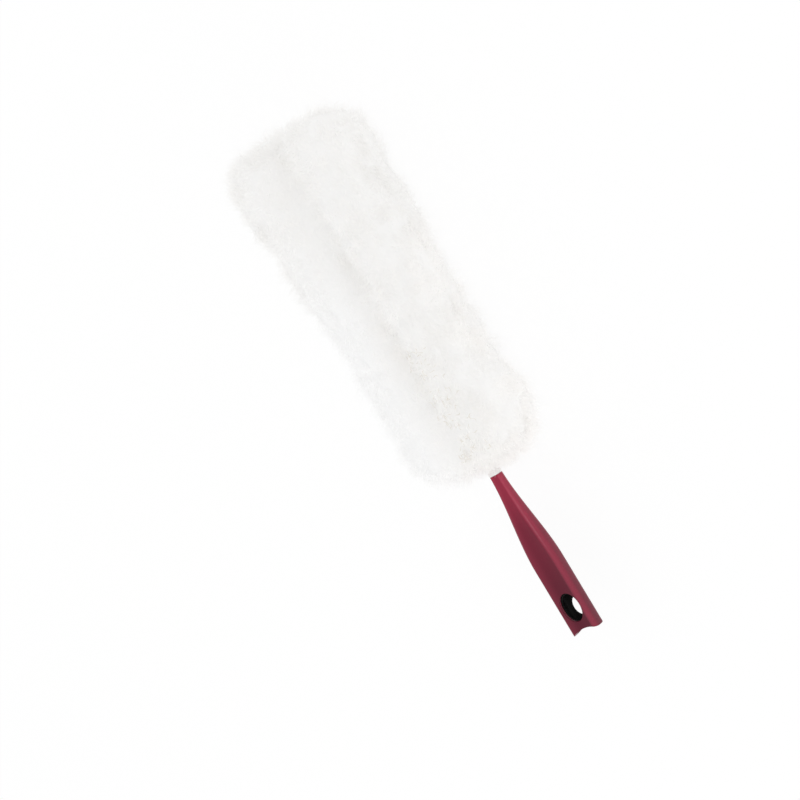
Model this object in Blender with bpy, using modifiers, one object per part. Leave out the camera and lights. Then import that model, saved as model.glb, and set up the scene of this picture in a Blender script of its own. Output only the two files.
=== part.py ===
"""A hand duster: a fluffy sleeve with two pockets on a two-pronged fork, in a hollow plastic handle.

Metres, +Z up. The duster lies on the flat underside of its fluff. Its axis runs along X, with the
handle's open tail at -X and the head's tip at +X, and the thumb dish of the handle faces +Z. The
origin is the middle of the footprint, on the surface that the duster lies on.

Every piece is drawn in the axis frame, which has its zero at the middle of the neck's mouth:
x runs forward to the head's tip, so a place in the handle is a distance back from the mouth.
"""

import math

import bmesh
import bpy
import numpy as np

# Handle
HANDLE_LENGTH = 0.181
NECK_WIDTH = 0.0130
NECK_THICKNESS = 0.0108
TAIL_WIDTH = 0.0326
TAIL_THICKNESS = 0.0220
FLARE_LENGTH = 0.102
FLARE_STRAIGHT_SHARE = 0.15
HANDLE_POWER = 3.2
HANDLE_WALL = 0.0020

# Thumb dish along the top of the handle
DISH_DEPTH = 0.0015
DISH_CREST_ROUNDING = 0.0011
DISH_NECK_SHARE = 0.50
DISH_TAIL_SHARE = 0.80
DISH_WIDENS_FROM = 0.048
DISH_WIDENS_OVER = 0.050

# Hanging hole and tail cut
HOLE_WIDTH = 0.0215
HOLE_LENGTH = 0.0315
HOLE_FROM_TAIL = 0.0285
HOLE_LIP = 0.0018
TAIL_CUT_DEPTH = 0.0042

# Pole socket liner
LINER_GAP = 0.0003
LINER_WALL = 0.0012
LINER_RECESS = 0.0058
LINER_LENGTH = 0.0840
LINER_STOP = 0.0020
LINER_WINDOW_MARGIN = 0.0004

# Fork
TANG_WIDTH = 0.0080
TANG_THICKNESS = 0.0060
TANG_LENGTH = 0.030
TANG_CLEARANCE = 0.0003
TANG_LEAD_IN_SHARE = 0.85
YOKE_ROOT_WIDTH = 0.0064
SOCKET_NECK_BLEND = 0.030
STEM_LENGTH = 0.0035
YOKE_LENGTH = 0.021
PRONG_WIDTH = 0.0160
PRONG_THICKNESS = 0.0026
PRONG_SPACING = 0.040
PRONG_EDGE = 0.0006
PRONG_REACH = 0.376
RIB_DIAMETER = 0.0038
RIB_END_SETBACK = 0.014
GRIP_HUMP_LENGTH = 0.0090
GRIP_HUMP_WIDTH = 0.0120
GRIP_HUMP_HEIGHT = 0.0035
GRIP_HUMP_PLACES_SHARES = (0.24, 0.56, 0.84)

# Collar between the handle and the head
COLLAR_LENGTH = 0.0042
COLLAR_STEP = 0.0002
COLLAR_GAP = 0.0003
COLLAR_EDGE = 0.0005

# Pockets of the sleeve
PANEL_THICKNESS = 0.0008
PANEL_MARGIN = 0.0080
PANEL_SEAM_GAP = 0.0003
PANEL_SHOULDER_SHARE = 0.8
POCKET_CLEARANCE = 0.0004
POCKET_SIDE_CLEARANCE = 0.0007
POCKET_RAMP = 0.0032
POCKET_MOUTH_CLEARANCE = 0.0015
POCKET_TIP_CLEARANCE = 0.0015
POCKET_TIP_RAMP = 0.0060
POCKET_TIP_SEAM = 0.0050

# Fluff
HEAD_LENGTH = 0.400
HEAD_WIDTH = 0.170
HEAD_HEIGHT = 0.110
HEAD_FROM_NECK = 0.0055
REST_FLAT = 0.0052
FLUFF_SEAT = 0.0003
FLUFF_SPLIT = 0.0003
FLUFF_TIP_OVERHANG_GAP = 0.0004
END_ROUNDING = 0.042
MOUTH_WIDTH_SHARE = 0.45
TIP_WIDTH_SHARE = 0.36
END_HEIGHT_SHARE = 0.34
TIP_LEFT_CORNER_POWER = 0.45
MOUTH_LEFT_SET_BACK = 0.0105
SET_BACK_REACH = 0.060
ARCH_POWER = 0.80
VALLEY_DEPTH_SHARE = 0.36
VALLEY_WIDTH_SHARE = 0.15
SEAT_END_SHARE = 0.85
TUFT_DEPTH = 0.0042
TUFT_LENGTH = 0.029
TUFT_WIDTH = 0.025
CLUMP_DEPTH = 0.0022
CLUMP_LENGTH = 0.061
CLUMP_WIDTH = 0.043
LEFT_WIDTH_SHARES = (
    (0.0, 0.88),
    (0.12, 0.93),
    (0.25, 0.87),
    (0.5, 0.93),
    (0.68, 1.0),
    (0.92, 1.09),
    (1.0, 1.08),
)
RIGHT_WIDTH_SHARES = (
    (0.0, 0.88),
    (0.14, 0.92),
    (0.25, 0.84),
    (0.5, 0.83),
    (0.66, 0.90),
    (0.9, 0.92),
    (1.0, 0.86),
)
HEIGHT_SHARES = ((0.0, 0.97), (0.12, 1.0), (0.45, 0.95), (0.9, 1.0), (1.0, 1.0))

# Cutters reach this far past the faces that they cut, and points this close are welded
OVERRUN = 0.004
WELD_DISTANCE = 0.00001

# Counts
HANDLE_STATIONS = 27
HANDLE_SIDES = 36
CAVITY_STATIONS = 14
CAVITY_SIDES = 24
HOLE_STEPS = 36
LIP_STEPS = 3
TAIL_CUT_SIDES = 96
YOKE_STEPS = 8
ROUND_STEPS = 8
RIB_RESOLUTION = 1
FLUFF_STATIONS = 42
FLUFF_ARCH_STEPS = 15
FLUFF_END_STATIONS = 5

# Worked out from the sizes above
HALF_PRONG = PRONG_WIDTH / 2
PRONG_MIDDLE = PRONG_SPACING / 2
PRONG_OUTER_EDGE = PRONG_MIDDLE + HALF_PRONG
PRONG_INNER_EDGE = PRONG_MIDDLE - HALF_PRONG
COLLAR_FRONT = COLLAR_GAP + COLLAR_LENGTH
STEM_END = COLLAR_FRONT + STEM_LENGTH
YOKE_END = STEM_END + YOKE_LENGTH
CROTCH = YOKE_END - HALF_PRONG
CROTCH_CENTRE = CROTCH + PRONG_INNER_EDGE
POCKET_HALF_HEIGHT = RIB_DIAMETER / 2 + POCKET_CLEARANCE
POCKET_MOUTH = CROTCH_CENTRE + POCKET_MOUTH_CLEARANCE
POCKET_END = PRONG_REACH + POCKET_TIP_CLEARANCE
PANEL_END = POCKET_END + POCKET_TIP_RAMP + POCKET_TIP_SEAM
PANEL_HALF_WIDTH = PRONG_OUTER_EDGE + PANEL_MARGIN
FLUFF_SEAT_HEIGHT = POCKET_HALF_HEIGHT + PANEL_THICKNESS + FLUFF_SEAT
FLUFF_SEAT_HALF_WIDTH = PANEL_HALF_WIDTH + FLUFF_SEAT
HEAD_START = HEAD_FROM_NECK
HEAD_END = HEAD_START + HEAD_LENGTH
WHOLE_LENGTH = HANDLE_LENGTH + HEAD_END
AXIS_HEIGHT = HEAD_HEIGHT / 2 - REST_FLAT
NECK_MOUTH_X = HANDLE_LENGTH - WHOLE_LENGTH / 2
WIDEST_LEFT = HEAD_WIDTH / 2 * max(share for _, share in LEFT_WIDTH_SHARES)
WIDEST_RIGHT = HEAD_WIDTH / 2 * max(share for _, share in RIGHT_WIDTH_SHARES)
AXIS_ASIDE = (WIDEST_RIGHT - WIDEST_LEFT) / 2

# Name, colour in sRGB, roughness
HANDLE_PLASTIC = ("burgundy plastic", (128, 50, 70), 0.34)
LINER_PLASTIC = ("black plastic", (14, 14, 15), 0.5)
WHITE_PLASTIC = ("white plastic", (236, 232, 231), 0.4)
POCKET_CLOTH = ("white nonwoven", (240, 239, 237), 0.85)
FLUFF_FIBRE = ("white fibre", (243, 241, 238), 0.9)


def linear(channel):
    """A channel of an sRGB colour, 0 to 255, as linear light."""
    value = channel / 255
    return value / 12.92 if value <= 0.04045 else ((value + 0.055) / 1.055) ** 2.4


def material(finish):
    """The material of this finish, made the first time that it is asked for."""
    name, colour, roughness = finish
    made = bpy.data.materials.get(name)
    if made is None:
        made = bpy.data.materials.new(name)
        made.use_nodes = True
        shader = made.node_tree.nodes["Principled BSDF"]
        shader.inputs["Base Color"].default_value = (*map(linear, colour), 1)
        shader.inputs["Roughness"].default_value = roughness
        shader.inputs["Metallic"].default_value = 0
    return made


def clear_scene():
    for old in list(bpy.data.objects):
        bpy.data.objects.remove(old, do_unlink=True)


def collection(name):
    made = bpy.data.collections.new(name)
    bpy.context.scene.collection.children.link(made)
    return made


def add_object(name, data, home, parent=None):
    made = bpy.data.objects.new(name, data)
    home.objects.link(made)
    made.parent = parent
    return made


def dress(part, finish, smooth_under=math.radians(40)):
    """Gives the part its material and smooth shading up to this angle."""
    part.data.materials.clear()
    part.data.materials.append(material(finish))
    part.data.shade_smooth()
    part.data.set_sharp_from_angle(angle=smooth_under)
    return part


def ease(value):
    """0 below 0, 1 above 1, and a smooth rise between."""
    value = np.clip(value, 0, 1)
    return value * value * (3 - 2 * value)


def soft_min(first, second, rounding):
    """The lower of two heights, with the corner between them rounded."""
    mix = np.clip(0.5 + 0.5 * (second - first) / rounding, 0, 1)
    return second + (first - second) * mix - rounding * mix * (1 - mix)


def from_shares(shares, along):
    """The share at this place along the length, on smooth steps between the chosen ones."""
    places, values = zip(*shares)
    for low, high, first, second in zip(places, places[1:], values, values[1:]):
        if along <= high:
            return first + (second - first) * float(ease((along - low) / (high - low)))
    return values[-1]


def superellipse(half_width, half_height, power, sides):
    """Points of a rounded oblong, counted round from +Y towards +Z."""
    turn = np.arange(sides) * 2 * math.pi / sides
    across, up = np.cos(turn), np.sin(turn)
    return (
        half_width * np.sign(across) * np.abs(across) ** (2 / power),
        half_height * np.sign(up) * np.abs(up) ** (2 / power),
    )


def skin(name, rings, home, parent=None):
    """A closed body through these rings of as many points each, with a flat face on both ends."""
    mesh = bmesh.new()
    rows = [[mesh.verts.new(point) for point in ring] for ring in rings]
    count = len(rows[0])
    for near, far in zip(rows, rows[1:]):
        for here in range(count):
            after = (here + 1) % count
            mesh.faces.new((near[here], near[after], far[after], far[here]))
    mesh.faces.new(rows[0])
    mesh.faces.new(rows[-1])
    bmesh.ops.recalc_face_normals(mesh, faces=mesh.faces)
    data = bpy.data.meshes.new(name)
    mesh.to_mesh(data)
    mesh.free()
    return add_object(name, data, home, parent)


def boolean(part, cutter, operation="DIFFERENCE"):
    step = part.modifiers.new(f"{operation.lower()} {cutter.name}", "BOOLEAN")
    step.operation = operation
    step.solver = "EXACT"
    step.object = cutter


def as_cutter(helper):
    helper.hide_render = True
    helper.display_type = "WIRE"
    return helper


def outline_curve(name, outlines, half_thickness, edge, home, parent=None):
    """A flat plate between closed outlines in X and Y, with its edges rounded inside the outline."""
    data = bpy.data.curves.new(name, "CURVE")
    data.dimensions = "2D"
    data.fill_mode = "BOTH"
    data.extrude = half_thickness - edge
    data.bevel_depth = edge
    data.bevel_resolution = 1
    data.offset = -edge
    for outline in outlines:
        spline = data.splines.new("POLY")
        spline.points.add(len(outline) - 1)
        spline.points.foreach_set("co", [value for x, y in outline for value in (x, y, 0, 1)])
        spline.use_cyclic_u = True
    return add_object(name, data, home, parent)


def bead(name, points, diameter, home, parent=None):
    """A round bead along these points, with closed ends."""
    data = bpy.data.curves.new(name, "CURVE")
    data.dimensions = "3D"
    data.bevel_depth = diameter / 2
    data.bevel_resolution = RIB_RESOLUTION
    data.use_fill_caps = True
    spline = data.splines.new("POLY")
    spline.points.add(len(points) - 1)
    spline.points.foreach_set("co", [value for point in points for value in (*point, 1)])
    return add_object(name, data, home, parent)


def as_mesh(curve):
    """The mesh of a curve object under the curve's name, with its caps welded on."""
    graph = bpy.context.evaluated_depsgraph_get()
    data = bpy.data.meshes.new_from_object(curve.evaluated_get(graph))
    mesh = bmesh.new()
    mesh.from_mesh(data)
    bmesh.ops.remove_doubles(mesh, verts=mesh.verts, dist=WELD_DISTANCE)
    bmesh.ops.recalc_face_normals(mesh, faces=mesh.faces)
    mesh.to_mesh(data)
    mesh.free()
    name, homes, parent, place = curve.name, curve.users_collection, curve.parent, curve.matrix_world.copy()
    bpy.data.objects.remove(curve, do_unlink=True)
    made = add_object(name, data, homes[0], parent)
    made.matrix_world = place
    return made


def handle_size(back):
    """Half the width and half the thickness of the handle at a distance back from the mouth."""
    straight = min(max(back / FLARE_LENGTH, 0), 1)
    grown = FLARE_STRAIGHT_SHARE * straight + (1 - FLARE_STRAIGHT_SHARE) * float(ease(straight))
    half_width = (NECK_WIDTH + (TAIL_WIDTH - NECK_WIDTH) * grown) / 2
    half_thickness = (NECK_THICKNESS + (TAIL_THICKNESS - NECK_THICKNESS) * grown) / 2
    return half_width, half_thickness, grown


def dish_height(back, across):
    """The height of the thumb dish above the axis, at a distance across from the middle."""
    half_width, half_thickness, grown = handle_size(back)
    widened = float(ease((back - DISH_WIDENS_FROM) / DISH_WIDENS_OVER))
    share = DISH_NECK_SHARE + (DISH_TAIL_SHARE - DISH_NECK_SHARE) * widened
    crest = half_thickness * (1 - share**HANDLE_POWER) ** (1 / HANDLE_POWER)
    return crest - DISH_DEPTH * grown * (1 - (across / (half_width * share)) ** 2)


def handle_ring(back):
    """The outside of the handle there: a rounded oblong with the thumb dish sunk in its top."""
    half_width, half_thickness, _ = handle_size(back)
    across, up = superellipse(half_width, half_thickness, HANDLE_POWER, HANDLE_SIDES)
    dished = soft_min(up, dish_height(back, across), DISH_CREST_ROUNDING)
    up = np.where(up > half_thickness / 2, dished, up)
    return [(-back, y, z) for y, z in zip(across, up)]


def cavity_size(back):
    """Half the width, the top and the bottom of the hollow: the tang's seat, then an even wall."""
    half_width, half_thickness, _ = handle_size(back)
    opened = float(ease((back - TANG_LENGTH) / SOCKET_NECK_BLEND))
    seat = TANG_THICKNESS / 2 + TANG_CLEARANCE
    seat_width = TANG_WIDTH / 2 + TANG_CLEARANCE
    width = seat_width + (half_width - HANDLE_WALL - seat_width) * opened
    top = seat + (float(dish_height(back, 0)) - HANDLE_WALL - seat) * opened
    bottom = -seat - (half_thickness - HANDLE_WALL - seat) * opened
    return width, top, bottom


def cavity_ring(back, inset, place=None):
    """The hollow's outline, drawn in by an even inset, at this place along X."""
    width, top, bottom = cavity_size(back)
    across, up = superellipse(width - inset, (top - bottom) / 2 - inset, HANDLE_POWER, CAVITY_SIDES)
    middle = (top + bottom) / 2
    return [(-back if place is None else place, y, z + middle) for y, z in zip(across, up)]


def hole_cutter(name, margin, lip, cutters, frame):
    """The oval hole through the top and the bottom wall, as a turned shape drawn out along X."""
    back = HANDLE_LENGTH - HOLE_FROM_TAIL
    _, half_thickness, _ = handle_size(back)
    top, bottom = float(dish_height(back, HOLE_WIDTH / 2)), -half_thickness
    inner = HOLE_WIDTH / 2 + margin
    outer = inner + lip
    turn = np.linspace(0, math.pi / 2, LIP_STEPS + 1)
    rounding = [(outer - lip * math.sin(a), lip * (1 - math.cos(a))) for a in turn]
    profile = [(0, top + OVERRUN), (outer, top + OVERRUN)]
    if lip:
        profile += [(radius, top - drop) for radius, drop in rounding]
        profile += [(radius, bottom + drop) for radius, drop in reversed(rounding)]
    profile += [(outer, bottom - OVERRUN), (0, bottom - OVERRUN)]
    data = bpy.data.meshes.new(name)
    data.from_pydata([(r, 0, z) for r, z in profile], [(k, k + 1) for k in range(len(profile) - 1)], [])
    cutter = add_object(name, data, cutters, frame)
    cutter.location.x = -back
    cutter.scale.x = (HOLE_LENGTH + 2 * margin) / (HOLE_WIDTH + 2 * margin)
    turned = cutter.modifiers.new("turned", "SCREW")
    turned.steps = turned.render_steps = HOLE_STEPS
    turned.use_merge_vertices = True
    turned.merge_threshold = WELD_DISTANCE
    return as_cutter(cutter)


def build_handle_shell(home, cutters, frame):
    """The moulded handle: an even wall round a hollow, a flared oval hole and a saddle cut tail."""
    backs = np.linspace(0, HANDLE_LENGTH, HANDLE_STATIONS)
    shell = skin("handle_shell", [handle_ring(back) for back in backs], home, frame)

    hollow_backs = np.linspace(0, HANDLE_LENGTH, CAVITY_STATIONS)
    hollow = [cavity_ring(back, 0) for back in hollow_backs]
    hollow.insert(0, cavity_ring(0, 0, place=OVERRUN))
    hollow.append(cavity_ring(HANDLE_LENGTH, 0, place=-HANDLE_LENGTH - OVERRUN))
    boolean(shell, as_cutter(skin("handle_hollow", hollow, cutters, frame)))
    boolean(shell, hole_cutter("hanging_hole", 0, HOLE_LIP, cutters, frame))

    half_width = TAIL_WIDTH / 2
    saddle_radius = (half_width**2 + TAIL_CUT_DEPTH**2) / (2 * TAIL_CUT_DEPTH)
    data = bpy.data.meshes.new("tail_saddle")
    mesh = bmesh.new()
    bmesh.ops.create_cone(
        mesh,
        cap_ends=True,
        segments=TAIL_CUT_SIDES,
        radius1=saddle_radius,
        radius2=saddle_radius,
        depth=2 * TAIL_THICKNESS,
    )
    mesh.to_mesh(data)
    mesh.free()
    saddle = as_cutter(add_object("tail_saddle", data, cutters, frame))
    saddle.location.x = -HANDLE_LENGTH + TAIL_CUT_DEPTH - saddle_radius
    boolean(shell, saddle)
    return dress(shell, HANDLE_PLASTIC)


def build_liner(home, cutters, frame):
    """The black socket liner that takes a pole: a cup with its stop towards the neck."""
    tail = HANDLE_LENGTH - LINER_RECESS
    head = tail - LINER_LENGTH
    backs = np.linspace(head, tail, CAVITY_STATIONS // 2)
    liner = skin("pole_socket_liner", [cavity_ring(back, LINER_GAP) for back in backs], home, frame)

    inset = LINER_GAP + LINER_WALL
    inner_backs = np.linspace(head + LINER_STOP, tail, CAVITY_STATIONS // 2)
    bore = [cavity_ring(back, inset) for back in inner_backs]
    bore.append(cavity_ring(tail, inset, place=-tail - OVERRUN))
    boolean(liner, as_cutter(skin("liner_bore", bore, cutters, frame)))
    boolean(liner, hole_cutter("liner_windows", LINER_WINDOW_MARGIN, 0, cutters, frame))
    return dress(liner, LINER_PLASTIC)


def build_collar(home, frame):
    """The white ring that closes the joint between the handle's mouth and the fork."""
    outer = superellipse(
        NECK_WIDTH / 2 + COLLAR_STEP, NECK_THICKNESS / 2 + COLLAR_STEP, HANDLE_POWER, HANDLE_SIDES
    )
    bore = superellipse(
        TANG_WIDTH / 2 + TANG_CLEARANCE, TANG_THICKNESS / 2 + TANG_CLEARANCE, HANDLE_POWER, HANDLE_SIDES
    )
    outlines = [list(zip(*ring)) for ring in (outer, bore)]
    collar = outline_curve("neck_collar", outlines, COLLAR_LENGTH / 2, COLLAR_EDGE, home, frame)
    collar.rotation_euler = (math.pi / 2, 0, math.pi / 2)
    collar.location.x = COLLAR_GAP + COLLAR_LENGTH / 2
    bpy.context.view_layer.update()
    return dress(as_mesh(collar), WHITE_PLASTIC)


def fork_half_outline():
    """The fork's outline in plan from the stem, round one prong, to the middle of the crotch."""
    stem_half = YOKE_ROOT_WIDTH / 2
    points = []
    for step in range(YOKE_STEPS + 1):
        share = step / YOKE_STEPS
        spread = (PRONG_OUTER_EDGE - stem_half) * float(ease(share))
        points.append((STEM_END + YOKE_LENGTH * share, stem_half + spread))
    for step in range(1, ROUND_STEPS + 1):
        turn = math.pi / 2 - math.pi * step / ROUND_STEPS
        reach = PRONG_REACH - HALF_PRONG + HALF_PRONG * math.cos(turn)
        points.append((reach, PRONG_MIDDLE + HALF_PRONG * math.sin(turn)))
    for step in range(ROUND_STEPS // 2 + 1):
        turn = math.pi / 2 * step / (ROUND_STEPS // 2)
        reach = CROTCH_CENTRE - PRONG_INNER_EDGE * math.sin(turn)
        points.append((reach, PRONG_INNER_EDGE * math.cos(turn)))
    return points


def build_fork(home, cutters, frame):
    """The white fork: a tang in the handle, a yoke, and two flat ribbed prongs with grip humps."""
    half = fork_half_outline()
    start = COLLAR_FRONT - COLLAR_LENGTH / 2
    upper = [(start, YOKE_ROOT_WIDTH / 2), *half]
    lower = [(x, -y) for x, y in reversed(upper[:-1])]
    fork = outline_curve("fork", [upper + lower], PRONG_THICKNESS / 2, PRONG_EDGE, home, frame)
    bpy.context.view_layer.update()
    fork = as_mesh(fork)

    tang_places = ((-TANG_LENGTH, TANG_LEAD_IN_SHARE), (-TANG_LENGTH + TANG_WIDTH / 2, 1), (STEM_END, 1))
    tang_rings = []
    for place, share in tang_places:
        across, up = superellipse(
            TANG_WIDTH / 2 * share, TANG_THICKNESS / 2 * share, HANDLE_POWER, CAVITY_SIDES
        )
        tang_rings.append([(place, y, z) for y, z in zip(across, up)])
    tang = as_cutter(skin("fork_tang", tang_rings, cutters, frame))
    boolean(fork, tang, "UNION")

    rib_end = PRONG_REACH - RIB_END_SETBACK
    hump_data = bpy.data.meshes.new("grip_hump")
    mesh = bmesh.new()
    bmesh.ops.create_uvsphere(mesh, u_segments=12, v_segments=6, radius=1)
    hump_half = (GRIP_HUMP_LENGTH / 2, GRIP_HUMP_WIDTH / 2, GRIP_HUMP_HEIGHT / 2)
    bmesh.ops.scale(mesh, vec=hump_half, verts=mesh.verts)
    mesh.to_mesh(hump_data)
    mesh.free()
    for side, word in ((1, "left"), (-1, "right")):
        path = [(STEM_END - TANG_THICKNESS / 2, 0, 0)]
        for step in range(1, YOKE_STEPS + 1):
            share = step / YOKE_STEPS
            path.append((STEM_END + YOKE_LENGTH * share, side * PRONG_MIDDLE * float(ease(share)), 0))
        path.append((rib_end, side * PRONG_MIDDLE, 0))
        rib = bead(f"rib_{word}", path, RIB_DIAMETER, cutters, frame)
        bpy.context.view_layer.update()
        boolean(fork, as_cutter(as_mesh(rib)), "UNION")
        for number, share in enumerate(GRIP_HUMP_PLACES_SHARES, 1):
            hump = as_cutter(add_object(f"hump_{word}_{number}", hump_data, cutters, frame))
            hump.location = (PRONG_REACH * share, side * PRONG_MIDDLE, 0)
            boolean(fork, hump, "UNION")
    return dress(fork, WHITE_PLASTIC)


def build_panel(name, face, home, frame):
    """One cloth panel of the sleeve, raised over each prong and flat along the seams between."""
    seam = PANEL_SEAM_GAP / 2
    raised = POCKET_HALF_HEIGHT
    inner = PRONG_INNER_EDGE - POCKET_SIDE_CLEARANCE
    outer = PRONG_OUTER_EDGE + POCKET_SIDE_CLEARANCE
    shoulder = seam + (raised - seam) * PANEL_SHOULDER_SHARE
    half = [
        (0, seam),
        (inner - POCKET_RAMP, seam),
        (inner, shoulder),
        (inner + POCKET_RAMP, raised),
        (PRONG_MIDDLE, raised),
        (outer - POCKET_RAMP, raised),
        (outer, shoulder),
        (outer + POCKET_RAMP, seam),
        (PANEL_HALF_WIDTH, seam),
    ]
    section = [(-y, z) for y, z in reversed(half[1:])] + half
    stations = [(POCKET_MOUTH, 1.0), (POCKET_END, 1.0)]
    for share in (0.25, 0.5, 0.75, 1.0):
        stations.append((POCKET_END + POCKET_TIP_RAMP * share, 1 - float(ease(share))))
    stations.append((PANEL_END, 0.0))
    mesh = bmesh.new()
    rows = []
    for x, height in stations:
        rows.append([mesh.verts.new((x, y, face * (seam + (z - seam) * height))) for y, z in section])
    for near, far in zip(rows, rows[1:]):
        for here in range(len(section) - 1):
            corners = (near[here], far[here], far[here + 1], near[here + 1])
            mesh.faces.new(corners if face > 0 else corners[::-1])
    data = bpy.data.meshes.new(name)
    mesh.to_mesh(data)
    mesh.free()
    panel = add_object(name, data, home, frame)
    shell = panel.modifiers.new("cloth", "SOLIDIFY")
    shell.thickness = PANEL_THICKNESS
    shell.offset = 1
    shell.use_even_offset = True
    return dress(panel, POCKET_CLOTH)


def fluff_stations():
    """Places along the head: close together on its rounded ends, and on both sides of the panels' end."""
    turn = np.linspace(0, math.pi / 2, FLUFF_END_STATIONS + 1)[:-1]
    rounded = END_ROUNDING * (1 - np.cos(turn))
    inner = np.linspace(HEAD_START + END_ROUNDING, HEAD_END - END_ROUNDING, FLUFF_STATIONS)
    seat_end = PANEL_END + FLUFF_TIP_OVERHANG_GAP
    extra = (seat_end, seat_end + FLUFF_SEAT_HEIGHT / 4)
    places = np.concatenate([HEAD_START + rounded, inner, HEAD_END - rounded])
    places = [place for place in places if min(abs(place - other) for other in extra) > FLUFF_SEAT_HEIGHT / 4]
    return sorted([*places, *extra]), seat_end


def fluff_ring(place, seat_end, side, face, width_shares):
    """One quarter of the head there: its arch of tufts, the valley, and the seat on the panel."""
    along = (place - HEAD_START) / HEAD_LENGTH
    from_end = min(place - HEAD_START, HEAD_END - place)
    rounded = math.sqrt(max(0.0, 1 - (1 - min(from_end / END_ROUNDING, 1)) ** 2))
    full_width = HEAD_WIDTH / 2 * from_shares(width_shares, along)
    full_height = HEAD_HEIGHT / 2 * from_shares(HEIGHT_SHARES, along)
    end_share = MOUTH_WIDTH_SHARE if along < 1 / 2 else TIP_WIDTH_SHARE
    corner_power = TIP_LEFT_CORNER_POWER if side > 0 and along > 1 / 2 else 1
    half_width = full_width * (end_share + (1 - end_share) * rounded) ** corner_power
    height = full_height * (END_HEIGHT_SHARE + (1 - END_HEIGHT_SHARE) * rounded)

    turn = np.linspace(0, math.pi / 2, FLUFF_ARCH_STEPS)
    valley = VALLEY_DEPTH_SHARE * np.exp(-((np.cos(turn) / VALLEY_WIDTH_SHARE / 2) ** 2))
    arch = np.sin(turn) ** ARCH_POWER * (1 - valley)
    across, up = half_width * np.cos(turn), height * arch / arch.max()

    around = turn * (full_width + full_height) / 2
    place_turn, around_turn = 2 * math.pi * place, 2 * math.pi * side * around
    drift = np.sin(around_turn / CLUMP_WIDTH + face), np.sin(place_turn / CLUMP_LENGTH + side)
    tufts = np.cos(place_turn / TUFT_LENGTH + drift[0]) * np.cos(around_turn / TUFT_WIDTH + drift[1])
    clumps = np.cos(place_turn / CLUMP_LENGTH + face) * np.cos(around_turn / CLUMP_WIDTH)
    depth = (TUFT_DEPTH * (1 - tufts) + CLUMP_DEPTH * (1 - clumps)) / 2
    across = across - depth * np.cos(turn) * rounded
    up = up - depth * np.sin(turn) * rounded

    split = FLUFF_SPLIT / 2
    seat_half_width = min(FLUFF_SEAT_HALF_WIDTH, half_width * SEAT_END_SHARE)
    seat = split
    if place <= seat_end:
        seat = FLUFF_SEAT_HEIGHT
        seat_half_width = max(seat_half_width, PRONG_OUTER_EDGE + POCKET_SIDE_CLEARANCE)
    across = np.maximum(across, split)
    up = np.maximum(up, split)
    ring = list(zip(across, up))
    ring += [(split, seat), (seat_half_width, seat), (seat_half_width + FLUFF_SPLIT, split)]
    floor = AXIS_HEIGHT if face < 0 else HEAD_HEIGHT
    set_back = MOUTH_LEFT_SET_BACK * (1 - ease((place - HEAD_START) / SET_BACK_REACH)) if side > 0 else 0
    aside = WIDEST_LEFT * MOUTH_WIDTH_SHARE
    return [(place + set_back * ease(y / aside), side * y, face * min(z, floor)) for y, z in ring]


def build_fluff(name, side, face, width_shares, home, frame):
    """A quarter of the fluff as one tufted body, shaped like the outside of the fibres."""
    stations, seat_end = fluff_stations()
    rings = [fluff_ring(place, seat_end, side, face, width_shares) for place in stations]
    return dress(skin(name, rings, home, frame), FLUFF_FIBRE, smooth_under=math.radians(70))


def add_frame(name, home):
    """An empty on the duster's axis at the neck's mouth, which carries the pieces of one body."""
    frame = add_object(name, None, home)
    frame.location = (NECK_MOUTH_X, AXIS_ASIDE, AXIS_HEIGHT)
    frame.empty_display_size = NECK_WIDTH
    bpy.context.view_layer.update()
    return frame


def main():
    clear_scene()
    home = collection("duster")
    cutters = collection("cutters")
    handle_frame = add_frame("handle_frame", home)
    sleeve_frame = add_frame("sleeve_slide_axis", home)

    build_handle_shell(home, cutters, handle_frame)
    build_liner(home, cutters, handle_frame)
    build_collar(home, handle_frame)
    build_fork(home, cutters, handle_frame)

    for face, level in ((1, "upper"), (-1, "lower")):
        build_panel(f"sleeve_{level}_panel", face, home, sleeve_frame)
        for side, word, shares in ((1, "left", LEFT_WIDTH_SHARES), (-1, "right", RIGHT_WIDTH_SHARES)):
            build_fluff(f"fluff_{level}_{word}", side, face, shares, home, sleeve_frame)


main()
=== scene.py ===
"""A fluffy hand duster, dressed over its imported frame.

Metres, +Z up. The duster lies on the flat underside of its fluff, with the handle's open tail at -X
and the head's tip at +X. The sleeve, which is the fluff and its two cloth panels, rides on the body
"sleeve", and everything else on the body "handle".
"""

import logging
import math
from collections.abc import Callable
from dataclasses import dataclass, field
from enum import Enum

import bmesh
import bpy
import numpy as np
from mathutils import Matrix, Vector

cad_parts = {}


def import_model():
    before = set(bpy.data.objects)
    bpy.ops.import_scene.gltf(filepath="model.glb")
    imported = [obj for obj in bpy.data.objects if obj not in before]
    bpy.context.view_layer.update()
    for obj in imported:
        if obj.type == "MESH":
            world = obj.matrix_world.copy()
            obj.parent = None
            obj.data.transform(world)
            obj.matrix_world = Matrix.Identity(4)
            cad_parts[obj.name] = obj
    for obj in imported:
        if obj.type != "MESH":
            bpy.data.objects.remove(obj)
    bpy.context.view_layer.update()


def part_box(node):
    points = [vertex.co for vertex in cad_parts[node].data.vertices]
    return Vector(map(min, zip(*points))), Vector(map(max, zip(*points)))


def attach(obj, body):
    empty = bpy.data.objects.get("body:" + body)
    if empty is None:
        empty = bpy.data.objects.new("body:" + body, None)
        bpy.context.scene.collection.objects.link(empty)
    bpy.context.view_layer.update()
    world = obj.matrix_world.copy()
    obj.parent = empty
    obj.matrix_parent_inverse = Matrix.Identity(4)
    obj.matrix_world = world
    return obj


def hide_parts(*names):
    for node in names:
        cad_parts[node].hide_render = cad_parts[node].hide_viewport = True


log = logging.getLogger("duster")

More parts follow.
